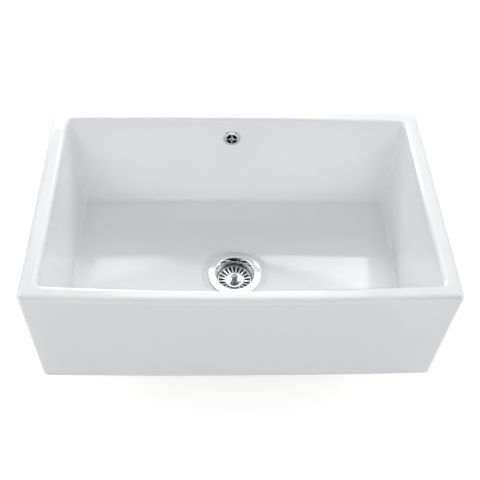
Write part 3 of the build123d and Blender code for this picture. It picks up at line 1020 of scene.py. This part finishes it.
def rounded(points: Sequence[Point], radii: Sequence[float], steps: int = 4) -> list[Vector]:
    """A bent line with each corner rounded.

    Args:
        points: The line's points, in millimetres.
        radii: The radius at each inner point, or 0 for a point that only holds the line.
        steps: How many pieces a corner's arc has.

    Returns:
        The line's points.
    """
    line = [Vector(points[0])]
    for before, here, after, radius in zip(points, points[1:], points[2:], radii):
        corner = Vector(here)
        if not radius:
            line.append(corner)
            continue
        inward = (Vector(before) - corner).normalized()
        outward = (Vector(after) - corner).normalized()
        half = inward.angle(outward) / 2
        centre = corner + (inward + outward).normalized() * (radius / math.sin(half))
        start = corner + inward * (radius / math.tan(half)) - centre
        end = corner + outward * (radius / math.tan(half)) - centre
        for step in range(steps + 1):
            line.append(centre + start.lerp(end, step / steps).normalized() * radius)
    line.append(Vector(points[-1]))
    return line


def sheet_section(line: Sequence[Vector], thickness: float) -> list[Point]:
    """The section of a sheet whose one face follows a line and whose metal is on the line's left.

    Args:
        line: The line.
        thickness: The sheet's thickness, in millimetres.

    Returns:
        The section's points, once round.
    """
    behind = []
    last = len(line) - 1
    for index, point in enumerate(line):
        before = (point - line[index - 1]).normalized() if index else None
        after = (line[index + 1] - point).normalized() if index < last else None
        along = ((before or after) + (after or before)).normalized()
        spread = along.dot(before or after)
        left = Vector((-along.y, along.x))
        behind.append(point + left * (thickness / spread))
    return [tuple(point) for point in (*line, *reversed(behind))]


def arc_between(start: Point, end: Point, leaving: Point, steps: int) -> list[Point]:
    """A curve from one point to another that leaves the first in a given direction.

    Args:
        start: Where it starts.
        end: Where it ends.
        leaving: The direction at the start, in millimetres for each millimetre of the run.
        steps: How many pieces it has.

    Returns:
        The curve's points.
    """
    run = (Vector(end) - Vector(start)).length
    pull = Vector(start) + Vector(leaving).normalized() * run * 0.5
    points = []
    for step in range(steps + 1):
        share = step / steps
        first = Vector(start).lerp(pull, share)
        second = pull.lerp(Vector(end), share)
        points.append(tuple(first.lerp(second, share)))
    return points


def smooth(piece: Piece, angle: float = 32.0) -> None:
    """Shades a piece smooth up to an angle, in degrees."""
    pick_up(piece)
    bpy.ops.object.shade_smooth_by_angle(angle=math.radians(angle))
    put_down()


def hand_in(piece: Piece, finish: Finish, body: Body, node: str) -> Piece:
    """Dresses a finished piece and puts it in its node's place.

    Args:
        piece: The piece.
        finish: Its finish.
        body: The body that it rides on.
        node: The node that it stands for.

    Returns:
        The piece.
    """
    piece.data.materials.clear()
    piece.data.materials.append(material_of(finish))
    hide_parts(node)
    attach(piece, body.value)
    LOG.info("%s: %d faces, stands for %s", piece.name, len(piece.data.polygons), node)
    return piece


def join(piece: Piece, *others: Piece) -> None:
    """Puts other pieces' meshes into one piece as they are.

    Args:
        piece: The piece that stays.
        others: The pieces that go into it.
    """
    pick_up(piece)
    for other in others:
        other.select_set(True)
    bpy.ops.object.join()
    put_down()


def turn(piece: Piece, angle: float) -> None:
    """Turns a piece about the Z axis, by an angle in radians."""
    settle(piece, Matrix.Rotation(angle, 4, "Z"))


def slice_off(piece: Piece, point: Sequence[float], outward: Sequence[float]) -> None:
    """Cuts a piece by a plane and closes the cut.

    Args:
        piece: The piece.
        point: A point on the plane, in millimetres.
        outward: The side that comes off.
    """
    work_on(piece)
    bpy.ops.mesh.bisect(
        plane_co=[value * MM for value in point], plane_no=Vector(outward).normalized(),
        use_fill=True, clear_outer=True,
    )
    clean(piece)


def dome(radius: float, height: float, steps: int) -> list[Point]:
    """The section of a dome that closes a tube downwards.

    Args:
        radius: The tube's radius, in millimetres.
        height: Where the dome starts.
        steps: How many rings it has.

    Returns:
        The rings below its start.
    """
    return [
        (radius * math.cos(angle), height - radius * math.sin(angle))
        for angle in (math.radians(86) * step / steps for step in range(1, steps + 1))
    ]


def lying_along(direction: Vector) -> Matrix:
    """The turn that lays the Z axis along a direction."""
    return direction.to_track_quat("Z", "Y").to_matrix().to_4x4()


# ---- Places from the model's own levels ---------------------------------------------------------

# Millimetres. The hole's place is down the back wall from the rim, and the elbow's corner and its
# spout follow from it.
RIM_Z = 268.0
BOWL_DEPTH = 233.0
WALL_RUN = 12.6
BACK_Y = 252.5
BACK_RIM = 28.0
OVERFLOW_X = -7.0
OVERFLOW_DROP = 50.7
ELBOW_CORNER = -60.84
SPOUT_DROP = 34.0
INLET_Z = -38.0
INLET_REACH = 84.0

LEAN = math.atan2(WALL_RUN, BOWL_DEPTH)
OVERFLOW_AT = Vector((
    OVERFLOW_X, BACK_Y - BACK_RIM - OVERFLOW_DROP * math.tan(LEAN), RIM_Z - OVERFLOW_DROP
)) * MM
OVERFLOW = Matrix.Translation(OVERFLOW_AT) @ Matrix.Rotation(math.pi / 2 - LEAN, 4, "X")
SPOUT_AT = OVERFLOW @ Vector((0, 0, ELBOW_CORNER * MM)) - Vector((0, 0, SPOUT_DROP * MM))
DOWNWARD = Matrix.Rotation(math.pi, 4, "X")
TOWARD_SPOUT = Vector((SPOUT_AT.x, SPOUT_AT.y, 0)).normalized()


def along_run(reach: float, height: float) -> Vector:
    """A point in the hose's upright plane, in metres.

    Args:
        reach: How far from the waste axis, in millimetres.
        height: Its height, in millimetres.

    Returns:
        The point.
    """
    return TOWARD_SPOUT * reach * MM + Vector((0, 0, height * MM))


# ---- Sub-assemblies -----------------------------------------------------------------------------


@dataclass
class StrainerCup:
    """The pressed cup: rolled flange, stepped wall, ledge, sump and its drain slots. Millimetres."""

    line: tuple[Point, ...] = (
        (57.2, 32.4), (57.2, 35.66), (55.4, 35.68), (43.0, 35.79), (41.0, 35.8),
        (41.0, 22.5), (38.0, 21.5), (37.2, 14.2), (34.8, 14.2), (33.6, -8.0), (20.0, -8.0),
        (17.0, -17.0), (3.05, -17.0),
    )
    bends: tuple[float, ...] = (1.4, 0.0, 0.0, 1.4, 0.8, 0.8, 0.6, 0.6, 2.0, 0.8, 0.8)
    sheet: float = 1.2
    drains: int = 10
    drain_from: float = 8.6
    drain_to: float = 15.0
    drain_width: float = 3.0

    def make(self) -> Piece:
        """Presses the cup and punches its drains."""
        line = rounded(self.line, self.bends, 5)
        cup = turned("strainer_cup_pressing", sheet_section(line, self.sheet), 128, closed=True)
        tool = slot_tool(self.drain_from, self.drain_to, self.drain_width, -21.0, -13.0)
        repeat_round(tool, self.drains)
        cut(cup, tool)
        smooth(cup)
        return hand_in(cup, CUP_STEEL, Body.SINK, "strainer_cup")


@dataclass
class Basket:
    """The lift-out strainer basket: a pressed dish with slots round a polished disc. Millimetres."""

    line: tuple[Point, ...] = (
        (36.2, 15.0), (34.1, 15.0), (33.2, 13.2), (20.6, 10.5), (19.0, 11.1), (17.6, 11.1), (5.05, 11.1),
    )
    bends: tuple[float, ...] = (0.6, 0.6, 0.8, 0.6, 0.0)
    sheet: float = 0.8
    slots: int = 20
    slot_from: float = 20.4
    slot_to: float = 33.2
    slot_width: float = 3.6
    slot_flare: float = 1.45
    edge: float = 0.16

    def make(self) -> Piece:
        """Presses the basket, punches its slots and rounds their edges."""
        line = rounded(self.line, self.bends, 4)
        basket = turned("strainer_basket", sheet_section(line, self.sheet), 120, closed=True)
        tool = slot_tool(self.slot_from, self.slot_to, self.slot_width, 6.0, 18.0, self.slot_flare)
        repeat_round(tool, self.slots)
        cut(basket, tool)
        soften(basket, self.edge, 2, 50.0)
        smooth(basket)
        return hand_in(basket, POLISHED, Body.BASKET, "basket_shell")


@dataclass
class StopperKnob:
    """The turned knob: a foot, a hollow neck, a flared lip and a dished top. Millimetres."""

    foot: float = 6.1
    neck: float = 5.0
    lip: float = 7.65
    low: float = 12.4
    neck_height: float = 6.2
    height: float = 11.3
    land: float = 1.6
    dish: float = 0.5
    socket: float = 3.05
    socket_depth: float = 7.0

    def make(self) -> Piece:
        """Turns the knob."""
        top = self.low + self.height
        neck_z = self.low + self.neck_height
        section: list[Point] = [
            (self.socket, self.low + self.socket_depth), (self.socket, self.low),
            (self.foot - 0.4, self.low), (self.foot - 0.1, self.low + 0.1),
            (self.foot, self.low + 0.4), (self.foot, self.low + 1.2),
            (self.foot - 0.1, self.low + self.land),
        ]
        section += arc_between((self.foot - 0.3, self.low + 1.9), (self.neck, neck_z), (-0.5, 0.9), 6)
        section += arc_between((self.neck, neck_z), (self.lip - 0.2, top - self.land), (0.1, 1.0), 8)[1:]
        section += [
            (self.lip, top - 1.3), (self.lip, top - 0.8), (self.lip - 0.12, top - 0.4),
            (self.lip - 0.4, top - 0.12), (self.lip - 0.8, top), (self.lip - 1.3, top - 0.06),
            (self.lip - 2.1, top - 0.28), (self.lip - 4.2, top - self.dish),
            (1.2, top - self.dish - 0.05), (0.9, top - self.dish - 0.2), (0.4, top - self.dish - 0.3),
        ]
        knob = turned("stopper_knob", section, 72)
        smooth(knob)
        return hand_in(knob, KNOB_STEEL, Body.STOPPER, "knob")


@dataclass(frozen=True)
class HoseSpigot:
    """The threaded spigot and the socket in it that take a hose's end. Millimetres."""

    crest: float = 13.2
    root: float = 12.5
    bore: float = 9.0
    socket: float = 10.45
    socket_depth: float = 12.0
    pitch: float = 2.0
    thread_root: float = 12.0
    thread_gap: float = 1.2
    sides: int = 48

    def hollow(self, piece: Piece, place: Matrix, start: float, end: float) -> None:
        """Bores a spigot's waterway and the socket in its mouth.

        Args:
            piece: The piece that has the spigot.
            place: The spigot's place, with its axis along Z.
            start: Where the waterway starts.
            end: The spigot's mouth.
        """
        for radius, low in ((self.bore, start), (self.socket, end - self.socket_depth)):
            cut(piece, settle(turned("bore", [(radius, low), (radius, end + 1)], self.sides), place))

    def screw(self, piece: Piece, place: Matrix, end: float, turns: float) -> None:
        """Cuts a spigot's thread.

        Args:
            piece: The piece that has the spigot.
            place: The spigot's place, with its axis along Z.
            end: The spigot's mouth.
            turns: How many turns the thread makes.
        """
        coil = thread(self.thread_root, self.crest, self.pitch, turns, 0.0)
        fuse(piece, settle(coil, place @ Matrix.Translation((0, 0, (end - self.thread_gap) * MM))))


SPIGOT = HoseSpigot()


@dataclass
class WasteBody:
    """The moulded waste body under the sink: bowl, inlet spigot, outlet thread and ribs. Millimetres."""

    outside: tuple[Point, ...] = (
        (46.6, 3.0), (59.0, 3.0), (59.0, -1.0), (49.0, -1.0), (49.0, -14.0), (37.0, -24.0),
        (37.0, -54.0), (23.9, -62.0), (23.9, -64.4), (22.9, -65.0), (22.9, -99.2), (22.2, -100.0),
    )
    outside_bends: tuple[float, ...] = (0.8, 1.2, 2.5, 3.0, 4.0, 3.0, 0.8, 0.4, 0.4, 0.3)
    inside: tuple[Point, ...] = (
        (20.5, -100.0), (20.5, -62.0), (34.0, -54.0), (34.0, -24.0), (46.0, -14.0), (46.0, 3.0),
    )
    inside_bends: tuple[float, ...] = (2.0, 2.0, 3.0, 3.0)
    gussets: int = 12
    gusset: float = 2.0
    boss: tuple[Point, ...] = (
        (3.3, -18.2), (9.0, -18.2), (9.0, -44.2), (5.0, -44.2), (5.0, -32.2), (3.3, -32.2),
    )
    arm: float = 3.0
    gusset_low: float = -13.0
    gusset_high: float = -0.4
    gusset_cut: float = -3.0
    gusset_slope: Point = (10.0, -10.7)
    gusset_from: float = 47.5
    gusset_to: float = 58.2
    hub_room: float = 8.5
    outlet_pitch: float = 2.309

    def make(self) -> Piece:
        """Moulds the waste body."""
        section = rounded(self.outside, self.outside_bends, 3)
        section += rounded(self.inside, self.inside_bends, 3)
        body = turned("waste_body_moulding", [tuple(point) for point in section], 96, closed=True)
        inlet = Matrix.Translation((0, 0, INLET_Z * MM)) @ lying_along(TOWARD_SPOUT)
        reach = INLET_REACH
        fuse(body, settle(turned("inlet", [
            (SPIGOT.crest + 1.2, 34.5), (SPIGOT.crest + 1.2, 38.5), (SPIGOT.crest, 40.0),
            (SPIGOT.crest, 62.0), (SPIGOT.root, 62.8), (SPIGOT.root, reach - 0.6),
            (SPIGOT.root - 0.6, reach),
        ], 64), inlet))
        half = self.gusset / 2
        gusset = block(
            "gusset", (self.gusset_from, -half, self.gusset_low), (self.gusset_to, half, self.gusset_high)
        )
        slope_x, slope_z = self.gusset_slope
        slice_off(gusset, (self.gusset_to, 0, self.gusset_cut), (slope_x, 0, slope_z))
        repeat_round(gusset, self.gussets)
        fuse(body, gusset)
        SPIGOT.hollow(body, inlet, 30.0, reach)
        arm = block("arm", (8.0, -self.arm / 2, -44.2), (35.0, self.arm / 2, -27.2))
        turn(arm, math.radians(45))
        repeat_round(arm, 4)
        fuse(body, arm)
        cut(body, turned("hub_room", [(self.hub_room, -10.0), (self.hub_room, -50.0)], 48))
        fuse(body, turned("hub", self.boss, 48, closed=True))
        fuse(body, thread(22.5, 23.9, self.outlet_pitch, 13.5, -67.0))
        SPIGOT.screw(body, inlet, reach, 9.5)
        smooth(body)
        return hand_in(body, WHITE_PLASTIC, Body.SINK, "waste_body")


@dataclass
class OverflowRose:
    """The domed rose over the overflow hole, with four slots round its screw. Millimetres."""

    top: float = 4.0
    dimple: float = 0.8
    hub: float = 4.8
    rim: float = 18.0
    rim_top: float = 1.0
    rim_low: float = 0.3
    seat: float = 0.6
    seat_from: float = 14.6
    sheet: float = 0.8
    hole: float = 2.55
    slot_from: float = 5.1
    slot_to: float = 12.1
    spoke: float = 2.3
    edge: float = 0.14

    def make(self) -> Piece:
        """Presses the rose and cuts its slots."""
        skin = arc_between((self.hub, self.top), (self.rim, self.rim_top), (1.0, 0.1), 14)
        section: list[Point] = [
            (self.hole, self.top - self.dimple - self.sheet), (self.hole, self.top - self.dimple),
            (self.hub - self.dimple, self.top - self.dimple), (self.hub - 0.25, self.top - 0.2),
            *skin, (self.rim, self.rim_top - 0.35), (self.rim - 0.1, self.rim_low),
            (self.rim - 0.7, self.rim_low), (self.rim - 0.7, self.seat), (self.seat_from, self.seat),
            *((radius - 0.2, height - self.sheet) for radius, height in reversed(skin[1:-5])),
        ]
        rose = turned("overflow_rose", section, 96, closed=True)
        tool = turned("slots", [
            (self.slot_from, 1.2), (self.slot_to, 1.2), (self.slot_to, 8.0), (self.slot_from, 8.0),
        ], 96, closed=True)
        half = self.spoke / 2
        cut(tool, block("spoke", (-20.0, -half, 0.0), (20.0, half, 9.0)))
        cut(tool, block("spoke", (-half, -20.0, 0.0), (half, 20.0, 9.0)))
        soften(tool, 0.7, 3, 60.0)
        cut(rose, tool)
        soften(rose, self.edge, 2, 50.0)
        smooth(rose, 30.0)
        settle(rose, OVERFLOW)
        return hand_in(rose, POLISHED, Body.SINK, "overflow_cover")


@dataclass
class OverflowElbow:
    """The moulded elbow behind the overflow: flange, bend, spout and insert. Millimetres."""

    face: float = -33.8
    corner: float = ELBOW_CORNER
    flange: float = 24.0
    flange_thickness: float = 3.0
    tube: float = 17.0
    bore: float = 14.0
    drop: float = SPOUT_DROP
    boss: float = 5.6
    insert: float = 3.6
    boss_length: float = 14.0
    web: float = 2.0
    gussets: int = 8
    gusset_from: float = 16.0
    gusset_to: float = 23.4
    gusset_half: float = 0.9
    gusset_drop: float = 9.0
    gusset_slope: Point = (9.0, -6.4)
    hub_room: float = 5.0

    def make(self) -> Piece:
        """Moulds the elbow."""
        back = self.face - self.flange_thickness
        elbow = turned("overflow_elbow_moulding", [
            (self.flange - 0.4, self.face), (self.flange, self.face - 0.4), (self.flange, back + 0.6),
            (self.flange - 0.6, back), (self.tube + 1.6, back), (self.tube + 0.5, back - 0.5),
            (self.tube, back - 1.6), (self.tube, self.corner),
            *dome(self.tube, self.corner, 12),
        ], 80)
        gusset = block(
            "gusset", (self.gusset_from, -self.gusset_half, back - self.gusset_drop),
            (self.gusset_to, self.gusset_half, back + 0.5),
        )
        slope_x, slope_z = self.gusset_slope
        slice_off(gusset, (self.gusset_to, 0, back - 1.0), (slope_x, 0, slope_z))
        turn(gusset, math.radians(22.5))
        repeat_round(gusset, self.gussets)
        fuse(elbow, gusset)
        settle(elbow, OVERFLOW)
        spout = Matrix.Translation(OVERFLOW @ Vector((0, 0, self.corner * MM))) @ DOWNWARD
        drop = self.drop
        fuse(elbow, settle(turned("spout", [
            (SPIGOT.crest, 0.0), (SPIGOT.crest, 17.6), (SPIGOT.root, 18.4),
            (SPIGOT.root, drop - 0.6), (SPIGOT.root - 0.6, drop),
        ], 64), spout))
        cut(elbow, settle(turned("bore", [
            (self.bore, self.face + 1), (self.bore, self.corner), *dome(self.bore, self.corner, 10),
        ], 64), OVERFLOW))
        SPIGOT.hollow(elbow, spout, 0.0, drop)
        low = self.face - self.boss_length
        reach, half, high = self.bore + 0.5, self.web / 2, self.face - 0.5
        for web in (
            block("web", (-reach, -half, low + 0.5), (reach, half, high)),
            block("web", (-half, -reach, low + 0.6), (half, reach, high - 0.1)),
        ):
            fuse(elbow, settle(web, OVERFLOW))
        cut(elbow, settle(turned("hub_room", [
            (self.hub_room, self.face + 1), (self.hub_room, low - 1),
        ], 32), OVERFLOW))
        fuse(elbow, settle(turned("hub", [
            (self.insert, self.face), (self.boss, self.face), (self.boss, low), (self.insert, low),
        ], 40, closed=True), OVERFLOW))
        SPIGOT.screw(elbow, spout, drop, 5.5)
        smooth(elbow)
        return hand_in(elbow, WHITE_PLASTIC, Body.SINK, "overflow_elbow")


@dataclass
class HoseRun:
    """The corrugated overflow hose and the nuts that hold its ends. Millimetres."""

    top: float = 192.0
    bend_z: float = 48.0
    low: float = INLET_Z
    spout_reach: float = 282.59
    bend: float = 86.0
    end_reach: float = 72.0
    crest: float = 12.0
    valley: float = 10.4
    bore: float = 9.0
    pitch: float = 4.4
    ribs: int = 76
    sides: int = 40
    grip: float = 11.0
    cone: float = 5.0
    nut_end: float = 2.5
    nut_outer: float = 16.45
    nut_bore: float = 13.25
    nut_hole: float = 10.9
    nut_ribs: int = 18
    nut_rib: float = 0.8
    seam: float = 0.02
    handle: float = 20.0

    def make(self) -> list[Piece]:
        """Makes the hose and both nuts."""
        spout = Matrix.Translation(SPOUT_AT) @ DOWNWARD
        inlet = Matrix.Translation(along_run(INLET_REACH, self.low)) @ lying_along(TOWARD_SPOUT)
        upper = self.nut()
        lower = copy_of(upper)
        pieces = [self.hose()]
        for nut, place, name in ((upper, spout, "upper_hose_nut"), (lower, inlet, "lower_hose_nut")):
            nut.name = f"{name}_moulding"
            settle(nut, place)
            pieces.append(hand_in(nut, WHITE_PLASTIC, Body.SINK, name))
        return pieces

    def nut(self) -> Piece:
        """Moulds a compression nut with grip ribs, its mouth at the origin."""
        end = self.cone + self.nut_end
        nut = turned("nut", [
            (self.nut_bore, -self.grip), (self.nut_outer - 0.5, -self.grip),
            (self.nut_outer, 0.5 - self.grip), (self.nut_outer, 1.2 - self.grip),
            (self.nut_outer, end - 2.2), (self.nut_outer - 0.5, end - 1.0),
            (self.nut_outer - 1.6, end - 0.2), (self.nut_outer - 2.4, end), (self.nut_hole + 0.3, end),
            (self.nut_hole, end - 0.3), (self.nut_hole, self.cone), (self.nut_bore, self.cone),
        ], 4 * self.nut_ribs, closed=True)
        middle = (1.2 - self.grip + end - 2.2) / 2 * MM
        step = math.tau / self.nut_ribs
        pick(nut, "FACE", lambda face: (
            abs(face.center.z - middle) < 0.5 * MM
            and face.center.xy.length > (self.nut_outer - 0.3) * MM
            and math.atan2(face.center.y, face.center.x) % step < step / 4
        ))
        bpy.ops.mesh.extrude_region_shrink_fatten(
            TRANSFORM_OT_shrink_fatten={"value": self.nut_rib * MM}
        )
        put_down()
        soften(nut, 0.22, 2, 40.0)
        smooth(nut)
        return nut

    def hose(self) -> Piece:
        """Blows the corrugated hose: cuffs, ribs, and the bend to the waste body."""
        drop = self.top - self.bend_z
        length = drop + math.pi / 2 * self.bend + self.spout_reach - self.bend - self.end_reach
        start = (length - self.ribs * self.pitch) / 2
        rib = [
            (0.0, 0.0), (0.1, 0.04), (0.19, 0.3), (0.27, 0.78), (0.36, 0.97), (0.5, 1.0),
            (0.64, 0.97), (0.73, 0.78), (0.81, 0.3), (0.9, 0.04), (1.0, 0.0),
        ]
        rise = self.crest - self.valley
        module = turned("rib", [
            (self.valley + rise * up, start + self.pitch * along) for along, up in rib
        ], self.sides, capped=False)
        join(module, turned(
            "tube", [(self.bore, start), (self.bore, start + self.pitch)], self.sides, capped=False
        ))
        apply_modifier(
            module, "ARRAY", count=self.ribs, use_relative_offset=False, use_constant_offset=True,
            constant_offset_displace=(0, 0, self.pitch * MM), use_merge_vertices=True,
            merge_threshold=self.seam * MM,
        )
        cuff = turned("cuff", [
            (self.valley, start), *((self.valley, start * share) for share in (0.8, 0.6, 0.4, 0.2)),
            (self.valley, 0.4), (self.valley - 0.3, 0.0), (self.bore + 0.2, 0.0), (self.bore, 0.3),
            *((self.bore, start * share) for share in (0.2, 0.4, 0.6, 0.8)), (self.bore, start),
        ], self.sides, capped=False)
        far_cuff = copy_of(cuff)
        settle(far_cuff, Matrix.Translation((0, 0, length * MM)) @ Matrix.Scale(-1, 4, (0, 0, 1)))
        join(module, cuff, far_cuff)
        module.name = "overflow_hose_blown"
        clean(module, self.seam * MM)
        route = self.route()
        apply_modifier(module, "CURVE", object=route, deform_axis="POS_Z")
        throw_away(route)
        clean(module)
        smooth(module, 60.0)
        return hand_in(module, HOSE_PLASTIC, Body.SINK, "overflow_hose")

    def route(self) -> Piece:
        """The hose's middle line: down, a quarter turn and in to the waste body."""
        data = bpy.data.curves.new("route", "CURVE")
        data.dimensions = "3D"
        data.resolution_u = 48
        spline = data.splines.new("BEZIER")
        spline.bezier_points.add(3)
        pull = self.bend * QUARTER_PULL
        inner = self.spout_reach - self.bend
        stations = (
            ((self.spout_reach, self.top), (0, self.handle), (0, -self.handle)),
            ((self.spout_reach, self.bend_z), (0, self.handle), (0, -pull)),
            ((inner, self.low), (pull, 0), (-self.handle, 0)),
            ((self.end_reach, self.low), (self.handle, 0), (-self.handle, 0)),
        )
        for point, (at, before, after) in zip(spline.bezier_points, stations):
            point.handle_left_type = point.handle_right_type = "FREE"
            point.co = along_run(at[0], at[1])
            point.handle_left = along_run(at[0] + before[0], at[1] + before[1])
            point.handle_right = along_run(at[0] + after[0], at[1] + after[1])
        route = bpy.data.objects.new("route", data)
        bpy.context.scene.collection.objects.link(route)
        return route


# ---- Dressing the model's own nodes -----------------------------------------------------------

DRESS: dict[Finish, tuple[str, ...]] = {
    GLAZE: ("sink_body",),
    POLISHED: ("strainer_cup", "basket_shell", "knob", "overflow_cover", "overflow_screw"),
    DARK_STEEL: ("fixing_screw", "seal_washer", "stem_nut"),
    DULL_STEEL: ("stem",),
    BRASS: ("waste_insert", "overflow_insert"),
    RUBBER: (
        "flange_seal", "waste_gasket", "stopper_seal", "overflow_gasket", "upper_hose_seal",
        "lower_hose_seal",
    ),
    FOAM: ("overflow_washer",),
    WHITE_PLASTIC: ("waste_body", "overflow_elbow", "upper_hose_nut", "lower_hose_nut"),
    HOSE_PLASTIC: ("overflow_hose",),
    NYLON: ("basket_bush",),
}


def dress_nodes(nodes: dict[str, Piece]) -> None:
    """Gives each of the model's own nodes its finish.

    Args:
        nodes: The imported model's objects by name.
    """
    for finish, names in DRESS.items():
        for name in names:
            nodes[name].data.materials.clear()
            nodes[name].data.materials.append(material_of(finish))
            LOG.info("dressed %s", name)


def main() -> None:
    """Builds the scene."""
    logging.basicConfig(level=logging.INFO, format="%(name)s: %(message)s")
    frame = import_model()
    cad_low, cad_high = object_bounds()
    bpy.context.scene.view_settings.view_transform = "Standard"
    PhotoCamera().make()
    Studio().make(cad_low[2])
    dress_nodes(frame["nodes"])
    for maker in (
        StrainerCup(), Basket(), StopperKnob(), WasteBody(), OverflowRose(), OverflowElbow(), HoseRun()
    ):
        maker.make()


if __name__ == "__main__":
    main()
